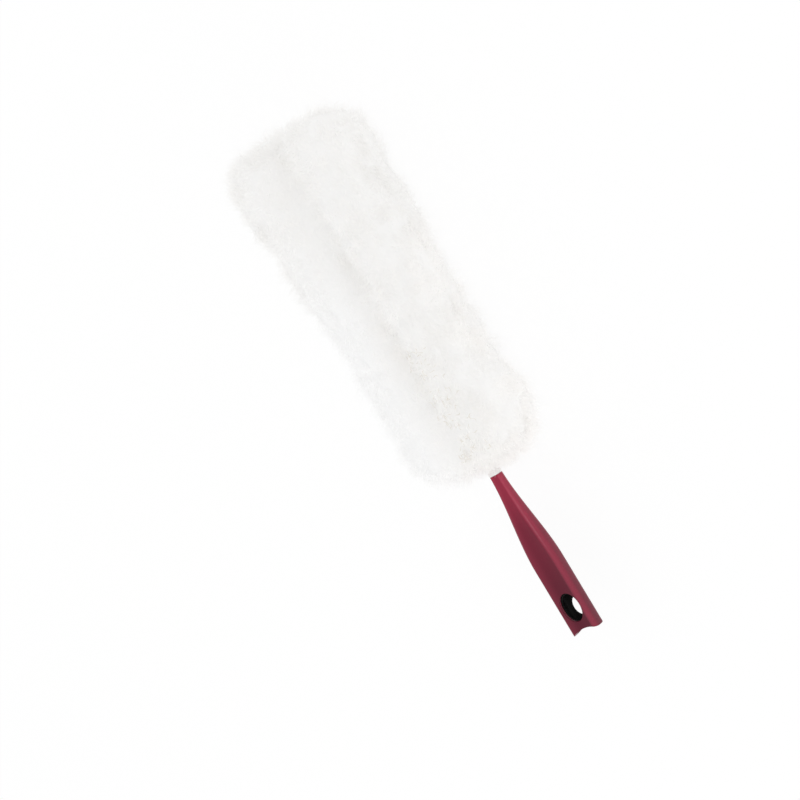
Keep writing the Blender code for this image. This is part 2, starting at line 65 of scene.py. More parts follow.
BAKE_MAP = "OFBake"
SEED = 20
HASH_STEPS = (73856093, 19349663, 83492791)
HASH_SEED = 2654435761
HASH_MIX = 1274126177
TINY = 1e-12
MERGE_DISTANCE = 0.000004
BOUNCES = 24
DIFFUSE_BOUNCES = 16
SHARP_MOULDING = 35
SHARP_COPY = 40
SHARP_LOBE = 50


class Body(Enum):
    """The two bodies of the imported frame."""

    HANDLE = "handle"
    SLEEVE = "sleeve"


class Slot(Enum):
    """The record's material slots."""

    HANDLE = "handle_plastic"
    LINER = "liner_plastic"
    WHITE = "white_plastic"
    CLOTH = "pocket_cloth"
    FIBRE = "fluff_fibre"


class Side(Enum):
    """The two sides of the head, by the sign of Y."""

    LEFT = 1
    RIGHT = -1


class Level(Enum):
    """The upper and lower half of the head, by the sign of Z from the axis."""

    UPPER = 1
    LOWER = -1


def linear(channel: float) -> float:
    """One channel of an sRGB colour, 0 to 255, as linear light."""
    value = channel / 255
    return value / 12.92 if value <= 0.04045 else ((value + 0.055) / 1.055) ** 2.4


def colour(red: float, green: float, blue: float) -> tuple[float, float, float, float]:
    """An sRGB colour, 0 to 255 a channel, as a linear RGBA tuple."""
    return (linear(red), linear(green), linear(blue), 1.0)


def ease(value: np.ndarray) -> np.ndarray:
    """A smooth step from 0 below 0 to 1 above 1: 3 v squared less 2 v cubed."""
    value = np.clip(value, 0.0, 1.0)
    return value * value * (3 - 2 * value)


def between_shares(shares: tuple[tuple[float, float], ...], along: np.ndarray) -> np.ndarray:
    """The share at each place along a length, on smooth steps between the chosen ones.

    Args:
        shares: Pairs of a place, 0 to 1, and the share there.
        along: Places along the length, 0 to 1.

    Returns:
        The share at each place.
    """
    result = np.full(np.shape(along), shares[0][1], dtype=float)
    for (low, first), (high, second) in zip(shares, shares[1:]):
        result += (second - first) * ease((along - low) / (high - low))
    return result


def lattice_noise(points: np.ndarray, cell: float, seed: int) -> np.ndarray:
    """Smooth noise from -1 to 1: random values on a cubic lattice, blended by eased distances.

    Args:
        points: Points, in metres, with X, Y and Z on the last axis.
        cell: The lattice's spacing, in metres.
        seed: Which noise of its kind to use.

    Returns:
        One value for each point.
    """
    scaled = points / cell
    low = np.floor(scaled).astype(np.int64)
    weight = ease(scaled - low)
    total = np.zeros(points.shape[:-1])
    for corner in range(8):
        step = np.array([corner & 1, corner >> 1 & 1, corner >> 2 & 1])
        key = (low + step) @ np.array(HASH_STEPS) + seed * HASH_SEED
        key = (key ^ key >> 13) * HASH_MIX & 0xFFFFFFFF
        value = ((key ^ key >> 16) & 0xFFFF) / 32767.5 - 1
        total += value * np.prod(np.where(step == 1, weight, 1 - weight), axis=-1)
    return total


def at_least(value: np.ndarray, low: np.ndarray | float, soft: float) -> np.ndarray:
    """Values held over a low one: under low plus soft they bend, by an exponential, towards low."""
    over = np.minimum(value - low - soft, 0)
    return np.where(over < 0, low + soft * np.exp(over / soft), value)


def unit(vectors: np.ndarray) -> np.ndarray:
    """Vectors divided by their own lengths."""
    length = np.linalg.norm(vectors, axis=-1, keepdims=True)
    return vectors / np.maximum(length, TINY)


def blend(ends: tuple[float, float], share: "np.ndarray | Wire") -> "np.ndarray | Wire":
    """The value between two ends, by a share of the second."""
    return ends[0] + (ends[1] - ends[0]) * share


def varied(spread: tuple[float, float], rng: np.random.Generator, *shape: int) -> np.ndarray:
    """Random factors of a shape: the spread's first number plus up to its second."""
    return spread[0] + spread[1] * rng.random(shape)


def link(name: str, data: bpy.types.ID) -> bpy.types.Object:
    """A new object of this name round a mesh, lamp or camera, linked to the scene."""
    made = bpy.data.objects.new(name, data)
    bpy.context.scene.collection.objects.link(made)
    return made


@dataclass
class MeshArrays:
    """A mesh as arrays, which go into Blender in one step.

    Attributes:
        points: Points by X, Y and Z.
        corners: The point of each face corner, face after face.
        counts: How many corners each face has.
        marks: Named values, one for each point.
        places: UV places, one for each corner, under the bake map's name.
    """

    points: np.ndarray
    corners: np.ndarray
    counts: np.ndarray
    marks: dict[str, np.ndarray] = field(default_factory=dict)
    places: np.ndarray | None = None

    def to_object(self, name: str, smooth: bool = True) -> bpy.types.Object:
        """A new mesh object of this name, linked to the scene.

        Args:
            name: The piece's name.
            smooth: Whether its faces are shaded smooth.

        Returns:
            The new object, at the origin.
        """
        mesh = bpy.data.meshes.new(name)
        mesh.vertices.add(len(self.points))
        mesh.vertices.foreach_set("co", self.points.astype(np.float32).ravel())
        mesh.loops.add(len(self.corners))
        mesh.loops.foreach_set("vertex_index", self.corners.astype(np.int32))
        mesh.polygons.add(len(self.counts))
        starts = np.concatenate([[0], np.cumsum(self.counts)[:-1]])
        mesh.polygons.foreach_set("loop_start", starts.astype(np.int32))
        mesh.polygons.foreach_set("use_smooth", np.full(len(self.counts), smooth))
        for mark, values in self.marks.items():
            layer = mesh.attributes.new(mark, "FLOAT", "POINT")
            layer.data.foreach_set("value", values.astype(np.float32))
        if self.places is not None:
            layer = mesh.uv_layers.new(name=BAKE_MAP)
            layer.data.foreach_set("uv", self.places.astype(np.float32).ravel())
        mesh.update(calc_edges=True)
        mesh.validate()
        return link(name, mesh)


def grid_faces(rows: int, columns: int, around: bool) -> tuple[np.ndarray, np.ndarray]:
    """Quads between neighbouring rows of points.

    Args:
        rows: Rows of points.
        columns: Points in a row.
        around: Whether each row closes on itself.

    Returns:
        The corners of all quads, and the corner count of each.
    """
    index = np.arange(rows * columns).reshape(rows, columns)
    near, far = index[:-1], index[1:]
    if around:
        next_near, next_far = np.roll(near, -1, axis=1), np.roll(far, -1, axis=1)
    else:
        near, next_near = near[:, :-1], near[:, 1:]
        far, next_far = far[:, :-1], far[:, 1:]
    quads = np.stack([near, next_near, next_far, far], axis=-1).reshape(-1, 4)
    return quads.ravel(), np.full(len(quads), 4)


def closed_skin(name: str, rings: np.ndarray) -> bpy.types.Object:
    """A closed surface through rings of points, with one flat face on each end.

    Args:
        name: The piece's name.
        rings: Points by ring, place in the ring, and X, Y, Z.

    Returns:
        The new object, with its faces turned outwards.
    """
    count, sides, _ = rings.shape
    corners, counts = grid_faces(count, sides, around=True)
    first = np.arange(sides)[::-1]
    last = (count - 1) * sides + np.arange(sides)
    made = MeshArrays(
        rings.reshape(-1, 3),
        np.concatenate([corners, first, last]),
        np.concatenate([counts, [sides, sides]]),
    ).to_object(name)
    face_outwards(made.data)
    return made


def face_outwards(mesh: bpy.types.Mesh, merge: float = 0.0) -> None:
    """Recalculates the normals of a closed mesh so that they point out.

    Args:
        mesh: The mesh.
        merge: The distance under which points are merged first, or 0 to leave them.
    """
    work = bmesh.new()
    work.from_mesh(mesh)
    if merge:
        bmesh.ops.remove_doubles(work, verts=work.verts, dist=merge)
    bmesh.ops.recalc_face_normals(work, faces=work.faces)
    work.to_mesh(mesh)
    work.free()


class Wire:
    """One output of a shader graph, so that maths on it reads as maths."""

    def __init__(self, graph: "Graph", socket: bpy.types.NodeSocket) -> None:
        """Keeps the graph and the socket."""
        self.graph = graph
        self.socket = socket

    def maths(self, operation: str, first: "Wire | float", second: "Wire | float") -> "Wire":
        """A Math node on two values.

        Args:
            operation: The node's operation.
            first: The first value or link.
            second: The second value or link.

        Returns:
            The node's output.
        """
        return self.graph.node("ShaderNodeMath", {"operation": operation}, {0: first, 1: second})

    def __add__(self, other: "Wire | float") -> "Wire":
        """This value plus another."""
        return self.maths("ADD", self, other)

    __radd__ = __add__

    def __sub__(self, other: "Wire | float") -> "Wire":
        """This value less another."""
        return self.maths("SUBTRACT", self, other)

    def __rsub__(self, other: float) -> "Wire":
        """A number less this value."""
        return self.maths("SUBTRACT", other, self)

    def __mul__(self, other: "Wire | float") -> "Wire":
        """This value times another."""
        return self.maths("MULTIPLY", self, other)

    __rmul__ = __mul__

    def __truediv__(self, other: "Wire | float") -> "Wire":
        """This value over another."""
        return self.maths("DIVIDE", self, other)

    def between(self, low: float, high: float) -> "Wire":
        """A smooth step of this value from 0 at low to 1 at high."""
        sockets = {"Value": self, "From Min": low, "From Max": high}
        return self.graph.node("ShaderNodeMapRange", {"interpolation_type": "SMOOTHSTEP"}, sockets)


class Graph:
    """The node tree of a material or world."""

    def __init__(self, owner: bpy.types.Material | bpy.types.World) -> None:
        """Clears the owner's tree."""
        owner.use_nodes = True
        self.tree = owner.node_tree
        self.tree.nodes.clear()

    def node(
        self, kind: str, settings: dict | None = None, inputs: dict | None = None, output: int | str = 0
    ) -> Wire:
        """Makes any node: its settings first, then its sockets.

        Args:
            kind: The node's type.
            settings: Its properties. "stops" are a ramp's places and colours.
            inputs: Values or links by the socket's name or number.
            output: The name or number of the output that is wanted.

        Returns:
            The output as a wire.
        """
        made = self.tree.nodes.new(kind)
        for name, value in (settings or {}).items():
            if name == "stops":
                ramp = made.color_ramp
                while len(ramp.elements) < len(value):
                    ramp.elements.new(1.0)
                for element, (place, shade) in zip(ramp.elements, value):
                    element.position, element.color = place, shade
            else:
                setattr(made, name, value)
        for name, value in (inputs or {}).items():
            if isinstance(value, Wire):
                self.tree.links.new(value.socket, made.inputs[name])
            else:
                made.inputs[name].default_value = value
        found = made.outputs[output] if made.outputs else None
        return Wire(self, found)

    def coordinates(self) -> Wire:
        """The piece's own Object coordinates."""
        return self.node("ShaderNodeTexCoord", output="Object")

    def along(self, axis: int) -> Wire:
        """The piece's own Object coordinate along X, Y or Z, by the axis's number."""
        return self.node("ShaderNodeSeparateXYZ", {}, {0: self.coordinates()}, axis)

    def seen(self) -> Wire:
        """1 on rays from the camera, also by way of a reflection or a clear piece, and 0 on others."""
        kinds = ("Camera", "Glossy", "Transmission")
        camera, glossy, clear = (self.node("ShaderNodeLightPath", output=f"Is {kind} Ray") for kind in kinds)
        return camera + glossy + clear

    def attribute(self, name: str) -> Wire:
        """A named value that the mesh carries."""
        return self.node("ShaderNodeAttribute", {"attribute_name": name}, output="Fac")

    def noise(self, scale: float, detail: float = 2.0, **inputs: float) -> Wire:
        """A Noise Texture's value on Object coordinates.

        Args:
            scale: Cells in a metre.
            detail: Octaves.
            inputs: More of the node's sockets.

        Returns:
            The noise, 0 to 1.
        """
        sockets = {"Vector": self.coordinates(), "Scale": scale, "Detail": detail, **inputs}
        return self.node("ShaderNodeTexNoise", {}, sockets, "Fac")

    def mix(self, share: Wire | float, first: Wire | tuple, second: Wire | tuple) -> Wire:
        """A colour between two colours, by a share of the second."""
        sockets = {0: share, 6: first, 7: second}
        return self.node("ShaderNodeMix", {"data_type": "RGBA"}, sockets, 2)

    def bump(self, height: Wire, distance: float, strength: float) -> Wire:
        """A normal from a height.

        Args:
            height: The height, 0 to 1.
            distance: The depth of a height of 1, in metres.
            strength: The share of the effect.

        Returns:
            The normal.
        """
        sockets = {"Height": height, "Distance": distance, "Strength": strength}
        return self.node("ShaderNodeBump", {}, sockets)

    def surface(self, inputs: dict) -> None:
        """Ends the tree in a Principled shader with these sockets."""
        shader = self.node("ShaderNodeBsdfPrincipled", {}, inputs)
        self.node("ShaderNodeOutputMaterial", {}, {"Surface": shader})


@dataclass(frozen=True)
class Finish:
    """A surface finish, made once and then shared.

    Attributes:
        name: The material's name.
        paint: A function that fills the material's graph.
    """

    name: str
    paint: Callable[[Graph], None]

    def material(self) -> bpy.types.Material:
        """The material of this finish, made the first time that it is asked for."""
        made = bpy.data.materials.get(self.name)
        if made is None:
            made = bpy.data.materials.new(self.name)
            self.paint(Graph(made))
        return made

    def dress(self, piece: bpy.types.Object) -> None:
        """Gives a piece this finish in all its slots."""
        piece.data.materials.clear()
        piece.data.materials.append(self.material())


@dataclass(frozen=True)
class Burgundy:
    """The handle's burgundy plastic, with a fine moulded grain and painted light: brighter at the neck,
    darker at the tail.

    Attributes:
        crest: The lighter colour of painted light on the flank under the right crest, and on the left side.
        worn: The colour of faint rubbed marks.
        half_widths: Half the width at the neck and at the grip.
        flare: The length over which the one turns into the other.
        crest_shares: The crest's share across, before and after the crests part.
        crest_width: Half the band's width, as a share across.
        crests_part: From where to where behind the neck the crests part.
        half_heights: Half the thickness at the neck and at the grip.
        band_least: The band's strength low on the flank, where it is 1 above.
        band_up: From which share up to which the one turns into the other.
        band_light: The share of the lighter colour in the band.
        side_light: Its share on the left side.
        side_from: The share across where that starts.
        neck_blend: Where the neck's colour turns into the middle's, as shares of the length.
        tail_blend: Where the middle's turns into the tail's.
    """

    neck: tuple = colour(148, 38, 62)
    middle: tuple = colour(111, 25, 47)
    tail: tuple = colour(87, 19, 38)
    crest: tuple = colour(186, 56, 84)
    worn: tuple = colour(158, 84, 100)
    neck_place: float = -0.112
    tail_place: float = -0.293
    middle_place: float = -0.0072
    half_widths: tuple[float, float] = (0.0065, 0.0163)
    flare: float = 0.102
    crest_shares: tuple[float, float] = (0.84, 0.94)
    crest_width: float = 0.32
    crests_part: tuple[float, float] = (0.030, 0.108)
    middle_height: float = 0.0498
    half_heights: tuple[float, float] = (0.0054, 0.0110)
    band_least: float = 0.35
    band_up: tuple[float, float] = (0.15, 0.70)
    band_light: float = 0.36
    side_light: float = 0.20
    side_from: float = 0.1
    neck_blend: tuple[float, float] = (0.0, 0.42)
    tail_blend: tuple[float, float] = (0.35, 0.90)
    rub_scale: float = 420.0
    rub_share: float = 0.10
    coat_share: float = 0.9

    def paint(self, graph: Graph) -> None:
        """Fills the graph.

        The share across is the distance from the middle line over half the width there, and the
        share up the same over half the height. The crest's share follows the dish, and the
        lighter band is a bell round the right one, over the flank.
        """
        length = self.neck_place - self.tail_place
        back = (self.neck_place - graph.along(0)) / length
        grown = back.between(0.0, self.flare / length)
        share = (graph.along(1) - self.middle_place) / blend(self.half_widths, grown)
        widened = back.between(self.crests_part[0] / length, self.crests_part[1] / length)
        off = (share + blend(self.crest_shares, widened)) / self.crest_width
        up = (graph.along(2) - self.middle_height) / blend(self.half_heights, grown)
        flank = self.band_least + (1 - self.band_least) * up.between(*self.band_up)
        band = (1 - (off * off).between(0.0, 1.0)) * flank
        light = self.band_light * band + self.side_light * share.between(self.side_from, 1.0)
        # Painted light: the colour is brighter at the neck and darker towards the tail.
        deep = graph.mix(back.between(*self.neck_blend), self.neck, self.middle)
        deep = graph.mix(back.between(*self.tail_blend), deep, self.tail)
        # Painted light: a lighter band on the right crest's flank and a lighter left side. The same share
        # also adds the coat.
        deep = graph.mix(light, deep, self.crest)
        cloud = graph.noise(60.0, 3.0)
        rub = graph.noise(self.rub_scale, 4.0).between(0.60, 0.78) * cloud.between(0.45, 0.75)
        grain = graph.noise(2600.0, 2.0)
        graph.surface(
            {
                "Base Color": graph.mix(rub * self.rub_share, deep, self.worn),
                "Roughness": 0.33 + 0.10 * cloud + 0.10 * rub,
                "Specular IOR Level": 0.2,
                "Coat Weight": light * self.coat_share,
                "Coat Roughness": 0.25,
                "Normal": graph.bump(grain, 0.00005, 0.35),
            }
        )


@dataclass(frozen=True)
class Moulded:
    """A plain moulded plastic with a fine grain and a little dust tone."""

    shade: tuple
    dull: tuple
    roughness: float
    shine: float

    def paint(self, graph: Graph) -> None:
        """Fills the graph."""
        cloud = graph.noise(45.0, 3.0)
        grain = graph.noise(2200.0, 2.0)
        graph.surface(
            {
                "Base Color": graph.mix(cloud.between(0.35, 0.8) * 0.5, self.shade, self.dull),
                "Roughness": self.roughness + 0.12 * cloud,
                "Specular IOR Level": self.shine,
                "Normal": graph.bump(grain, 0.00005, 0.3),
            }
        )


@dataclass(frozen=True)
class Nonwoven:
    """White nonwoven cloth: tangled fibres pressed flat, with rows of bonded dots."""

    shade: tuple = colour(244, 243, 241)
    bond: tuple = colour(232, 231, 229)
    dots: float = 420.0

    def paint(self, graph: Graph) -> None:
        """Fills the graph."""
        spot = graph.node(
            "ShaderNodeTexVoronoi",
            {"feature": "F1"},
            {"Vector": graph.coordinates(), "Scale": self.dots, "Randomness": 0.25},
            "Distance",
        )
        pressed = 1 - spot.between(0.22, 0.42)
        tangle = graph.noise(1500.0, 4.0, Distortion=1.2)
        graph.surface(
            {
                "Base Color": graph.mix(pressed * 0.8, self.shade, self.bond),
                "Roughness": 0.86 - 0.12 * pressed,
                "Sheen Weight": 0.15,
                "Normal": graph.bump(tangle * (1 - pressed), 0.0002, 0.6),
            }
        )


@dataclass(frozen=True)
class Fibre:
    """The fluff's fibre: a bright neutral white, warmer in soft patches, with painted shade along the middle
    and at the roots, and duller towards the tip.

    Attributes:
        duller_white: The duller white, of the painted shade along the middle and of the duller tip.
        shade_middle: The Y along which the painted shade lies.
        shade_half: Half the width of their patches.
        shade_from: Between which X the patches along the middle set in.
        dull_tip: Between which X the duller tip sets in.
        tip_share: The duller white's share at the tip.
        patch_wander: How far patches make the edges wander.
        patch_depth: How far patches change the tip.
        warm_from: The Y where the warmer white starts.
        warm_to: The Y where it is full.
        warm_wander: How far noise moves these.
    """

    cool: tuple = colour(254, 254, 254)
    warm: tuple = colour(254, 252.8, 251.6)
    # The root colour is the painted shade at the loose fibres' roots, and the darker tone between the dense
    # fluff's curls.
    root: tuple = colour(250, 249.6, 249)
    duller_white: tuple = colour(251.4, 250.8, 249.9)
    shade_middle: float = -0.038
    shade_half: float = 0.046
    shade_from: tuple[float, float] = (-0.108, -0.060)
    dull_tip: tuple[float, float] = (0.090, 0.190)
    tip_share: float = 0.9
    patch_scale: float = 34.0
    patch_wander: float = 1.8
    patch_depth: float = 2.0
    warm_from: float = 0.030
    warm_to: float = -0.030
    warm_wander: float = 1.1

    def warmth(self, graph: Graph) -> Wire:
        """The share of the warmer white: in soft patches, and more on the middle and right of the head."""
        across = (self.warm_from - graph.along(1)) / (self.warm_from - self.warm_to)
        wander = graph.noise(14.0, 2.0) - 0.5
        return (across + wander * self.warm_wander).between(0.0, 1.0)

    def shade_and_dull_tip(self, graph: Graph) -> Wire:
        """The share of the duller white: painted shade in patches along the middle, and a duller tip."""
        forward = graph.along(0)
        aside = (graph.along(1) - self.shade_middle) / self.shade_half
        patch = graph.noise(self.patch_scale, 3.0) - 0.5
        # Painted shade: patches of a duller white along the middle. The tip is duller too.
        middle = 1 - (aside * aside + patch * self.patch_wander).between(0.0, 1.0)
        tip = self.tip_share + patch * self.patch_depth
        return middle * forward.between(*self.shade_from) + tip * forward.between(*self.dull_tip)

    def white(self, graph: Graph, warmth: Wire) -> Wire:
        """The white by a share of the warmer one, and duller towards the tip and in the painted shade along
        the middle.
        """
        return graph.mix(self.shade_and_dull_tip(graph), graph.mix(warmth, self.cool, self.warm), self.duller_white)

    def paint(self, graph: Graph) -> None:
        """Fills the graph for the loose fibres, which carry their reach and tone."""
        white = self.white(graph, self.warmth(graph) * (0.6 + 0.5 * graph.attribute("tone")))
        # Painted shade: the loose fibres are darker towards their roots, deep in the fluff.
        reach = graph.attribute("reach").between(0.0, 0.7)
        graph.surface(
            {
                "Base Color": graph.mix(reach, self.root, white),
                "Roughness": 0.85,
                "Specular IOR Level": 0.2,
                "Sheen Weight": 0.06,
                "Sheen Roughness": 0.6,
            }
        )

    def paint_core(self, graph: Graph) -> None:
        """Fills the graph for the dense fluff under the loose fibres: crimped fibres as a fine relief."""
        bend = graph.noise(260.0, 3.0)
        curl = graph.noise(700.0, 3.0, Distortion=2.4)
        white = self.white(graph, self.warmth(graph) * 0.85)
        graph.surface(
            {
                "Base Color": graph.mix(curl.between(0.3, 0.6), self.root, white),
                "Roughness": 0.9,
                "Specular IOR Level": 0.15,
                "Sheen Weight": 0.06,
                "Sheen Roughness": 0.6,
                "Normal": graph.bump(bend * 0.6 + curl * 0.5, 0.0015, 0.7),
            }
        )


BURGUNDY = Finish("burgundy plastic", Burgundy().paint)
BLACK = Finish("black plastic", Moulded(colour(7, 7, 7), colour(12, 12, 12), 0.55, 0.15).paint)
WHITE = Finish("white plastic", Moulded(colour(240, 237, 236), colour(228, 225, 224), 0.35, 0.4).paint)
CLOTH = Finish("white nonwoven", Nonwoven().paint)
LOOSE_FIBRE = Finish("white loose fibre", Fibre().paint)
DENSE_FIBRE = Finish("white dense fibre", Fibre().paint_core)
# Painted shade: the valley's curls are a darker white, so that they show as shaded curly lines.
CURL_SHADE_WHITE = colour(233, 229, 222)
CURLED_FIBRE = Finish("white curled fibre", Fibre(CURL_SHADE_WHITE, CURL_SHADE_WHITE, CURL_SHADE_WHITE).paint)


def finish_piece(piece: bpy.types.Object, finish: Finish, body: Body, slot: Slot, *nodes: str) -> None:
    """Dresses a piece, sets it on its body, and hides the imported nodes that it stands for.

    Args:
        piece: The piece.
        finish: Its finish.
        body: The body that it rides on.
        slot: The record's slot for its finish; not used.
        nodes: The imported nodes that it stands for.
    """
    finish.dress(piece)
    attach(piece, body.value)
    if nodes:
        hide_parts(*nodes)
    log.info("%s: %d faces", piece.name, len(piece.data.polygons))


@dataclass(frozen=True)
class Axis:
    """The duster's axis, read from the frame: the middle of the neck's mouth.

    Attributes:
        x: The mouth's place.
        y: The axis's place across.
        z: The axis's height.
    """

    x: float
    y: float
    z: float

    @classmethod
    def from_frame(cls) -> "Axis":
        """The axis by the handle's front end and the middle of the fork."""
        _, shell_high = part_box("handle_shell")
        low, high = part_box("fork")
        return cls(shell_high.x, (low.y + high.y) / 2, (low.z + high.z) / 2)

    def place(self, x: np.ndarray, y: np.ndarray, z: np.ndarray) -> np.ndarray:
        """Points by distances forward, to the left and up from the mouth's middle."""
        return np.stack(np.broadcast_arrays(self.x + x, self.y + y, self.z + z), axis=-1)


@dataclass
class HeadForm:
    """The outer form of the fluff as a function of two parameters.

    The first runs over the skin from the middle of the mouth end to the middle of the tip, and the
    second once round from the left through the top. A section is a rounded oblong that is sunk
    along its middle, above and below, into a valley between the left and the right lobes.

    Attributes:
        start: The mouth end's distance forward of the neck's mouth.
        length: From end to end.
        left: The widest half on the left.
        right: The widest half on the right.
        height: Half the height before the underside is pressed flat.
        inset: How far the form is drawn in on all sides.
        end_rounding: The radius that both ends are rounded by.
        rounding_run: How much of the first parameter a rounding takes, as a share of its radius.
        mouth_share: The flat mouth end's share of the width.
        tip_share: The flat tip's.
        end_height_share: The share of the height that both flats have.
        arch_power: The power of the sine that a section rises by. Less than 1 makes it fuller.
        valley_depth_share: The valley's depth, as a share of the height.
        valley_width_share: Half the valley's width, as a share of the width.
        tuft_depth: How deep the form is drawn in between tufts.
        clump_depth: How deep the creases between clumps are.
        crease_round: How rounded a crease's bottom is.
        crease_power: How narrow a crease is.
        tip_corner_powers: Powers that square the tip's left and right corner. 1 leaves it round.
        corner_reach: How far from its end a set-back fades out.
        mouth_set_back: How much further from the neck the mouth end's left side starts.
        tip_push: How far the tip stands out at its fullest place.
        tip_push_place: That place, to the left of the axis.
        tip_push_width: Half the width of what stands out there.
        tip_set_back: How far the tip is set back on the right and on the left.
        slant_share: The share of the right half over which it is set back.
        left_from: The place to the left where the left set-back starts.
        left_blend: The width over which it grows.
    """

    start: float
    length: float
    left: float
    right: float
    height: float
    inset: float = 0.0
    end_rounding: float = 0.042
    rounding_run: float = 1.6
    mouth_share: float = 0.45
    tip_share: float = 0.36
    end_height_share: float = 0.34
    arch_power: float = 0.80
    peak_steps: int = 60
    valley_depth_share: float = 0.36
    valley_width_share: float = 0.15
    left_shares: tuple = (
        *((0.0, 0.85), (0.1, 0.88), (0.25, 0.84), (0.42, 0.85), (0.5, 0.885)),
        *((0.58, 0.96), (0.66, 0.945), (0.86, 1.04), (1.0, 1.08)),
    )
    right_shares: tuple = (
        *((0.0, 0.96), (0.14, 1.0), (0.26, 0.9), (0.5, 0.91), (0.62, 0.985)),
        *((0.74, 0.95), (0.9, 1.0), (1.0, 0.9)),
    )
    height_shares: tuple = ((0.0, 0.98), (0.12, 1.02), (0.45, 0.97), (0.85, 1.04), (1.0, 1.06))
    tuft_depth: float = 0.0034
    tuft_cell: float = 0.015
    clump_depth: float = 0.0056
    clump_cell: float = 0.027
    crease_round: float = 0.015
    crease_power: float = 2.5
    tip_corner_powers: tuple[float, float] = (0.40, 0.70)
    corner_reach: float = 0.060
    mouth_set_back: float = 0.0050
    tip_push: float = 0.0030
    tip_push_place: float = 0.020
    tip_push_width: float = 0.018
    tip_set_back: tuple[float, float] = (0.0050, 0.0025)
    slant_share: float = 0.8
    left_from: float = 0.030
    left_blend: float = 0.016
    probe: float = 0.002
    probe_turn: float = 0.016

    @classmethod
    def from_frame(cls, axis: Axis, inset: float = 0.0) -> "HeadForm":
        """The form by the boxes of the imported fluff.

        Args:
            axis: The duster's axis.
            inset: How far the form is drawn in.

        Returns:
            The form.
        """
        lobes = [(level, side) for level in ("upper", "lower") for side in ("left", "right")]
        boxes = [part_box(f"fluff_{level}_{side}") for level, side in lobes]
        low = np.min([np.array(box[0]) for box in boxes], axis=0)
        high = np.max([np.array(box[1]) for box in boxes], axis=0)
        return cls(
            start=low[0] - axis.x,
            length=high[0] - low[0],
            left=high[1] - axis.y,
            right=axis.y - low[1],
            height=high[2] - axis.z,
            inset=inset,
        )

    def profile(self, along: np.ndarray) -> tuple[np.ndarray, np.ndarray, np.ndarray]:
        """The place along the head and the shares of width and height, by the first parameter.

        The parameter runs in even steps over the mouth end's flat, a quarter turn of rounding,
        the straight side, the tip's rounding and its flat.

        Args:
            along: The first parameter, 0 to 1.

        Returns:
            The distance from the start, the share of the full width and that of the full height.
        """
        radius = self.end_rounding
        span = self.length - 2 * self.inset
        flats = self.left * self.mouth_share, self.left * self.tip_share
        run = radius * self.rounding_run
        steps = np.cumsum([0, flats[0], run, span - 2 * radius, run, flats[1]])
        path = along * steps[-1]
        piece = [np.clip((path - low) / (high - low), 0, 1) for low, high in zip(steps, steps[1:])]
        rise = np.sin(piece[1] * math.pi / 2), np.cos(piece[3] * math.pi / 2)
        place = radius * (1 - np.cos(piece[1] * math.pi / 2)) + (span - 2 * radius) * piece[2]
        place = place + radius * np.sin(piece[3] * math.pi / 2)
        near = path < (steps[2] + steps[3]) / 2
        flat = np.where(near, piece[0], 1 - piece[4])
        rounded = np.where(near, rise[0], rise[1])
        share = np.where(near, self.mouth_share, self.tip_share)
        width = np.where(rounded > 0, share + (1 - share) * rounded, share * flat)
        low = self.end_height_share
        height = np.where(rounded > 0, low + (1 - low) * rounded, low * flat)
        return self.inset + place, width, height

    def arch(self, round_: np.ndarray) -> np.ndarray:
        """The share up at an angle: the sine to a power, less the valley, which is a bell on the cosine."""
        valley = np.exp(-((np.cos(round_) / self.valley_width_share / 2) ** 2))
        return np.abs(np.sin(round_)) ** self.arch_power * (1 - self.valley_depth_share * valley)

    def point(self, along: np.ndarray, round_: np.ndarray) -> np.ndarray:
        """Points of the form, by distances from the neck's mouth.

        Across is the half width times the cosine, and up the half height times the arch. The left
        of the mouth end and both sides of the tip are set back a little, and the tip stands out in
        a bell between them. The section is drawn in where the tufts' noise is low, and in rounded
        creases where the clumps' noise crosses zero, so that clumps stand between them.

        Args:
            along: The first parameter, 0 to 1.
            round_: The angle round from the left, in radians.

        Returns:
            Points by X, Y and Z.
        """
        place, width, height = self.profile(along)
        share = place / self.length
        cos, sin = np.cos(round_), np.sin(round_)
        half_left = self.left * between_shares(self.left_shares, share)
        half_right = self.right * between_shares(self.right_shares, share)
        power = np.where(cos > 0, *self.tip_corner_powers)
        square = np.where(share > 0.5, width**power, width)
        half_width = (np.where(cos > 0, half_left, half_right) - self.inset) * square
        half_height = (self.height * between_shares(self.height_shares, share) - self.inset) * height
        tallest = self.arch(np.linspace(0, math.pi / 2, self.peak_steps)).max()
        y = half_width * cos
        z = half_height * np.sign(sin) * self.arch(round_) / tallest
        aside = ease(y / (self.left * self.mouth_share))
        back = self.mouth_set_back * aside * (1 - ease(place / self.corner_reach))
        bulge = np.exp(-(((y - self.tip_push_place) / self.tip_push_width) ** 2))
        slant = self.tip_set_back[0] * ease(-y / (self.right * self.slant_share))
        slant = slant + self.tip_set_back[1] * ease((y - self.left_from) / self.left_blend)
        push = (self.tip_push * bulge - slant) * (1 - ease((self.length - place) / self.corner_reach))
        points = np.stack(np.broadcast_arrays(self.start + place + back + push, y, z), axis=-1)
        depth = self.tuft_depth * (1 - lattice_noise(points, self.tuft_cell, 1)) / 2
        crease = np.sqrt(lattice_noise(points, self.clump_cell, 2) ** 2 + self.crease_round)
        depth = depth + self.clump_depth * np.maximum(1 - crease, 0) ** self.crease_power
        shrink = depth[..., None] * unit(points * np.array([0, 1, 1])) * np.minimum(width, 1)[..., None]
        return points - shrink

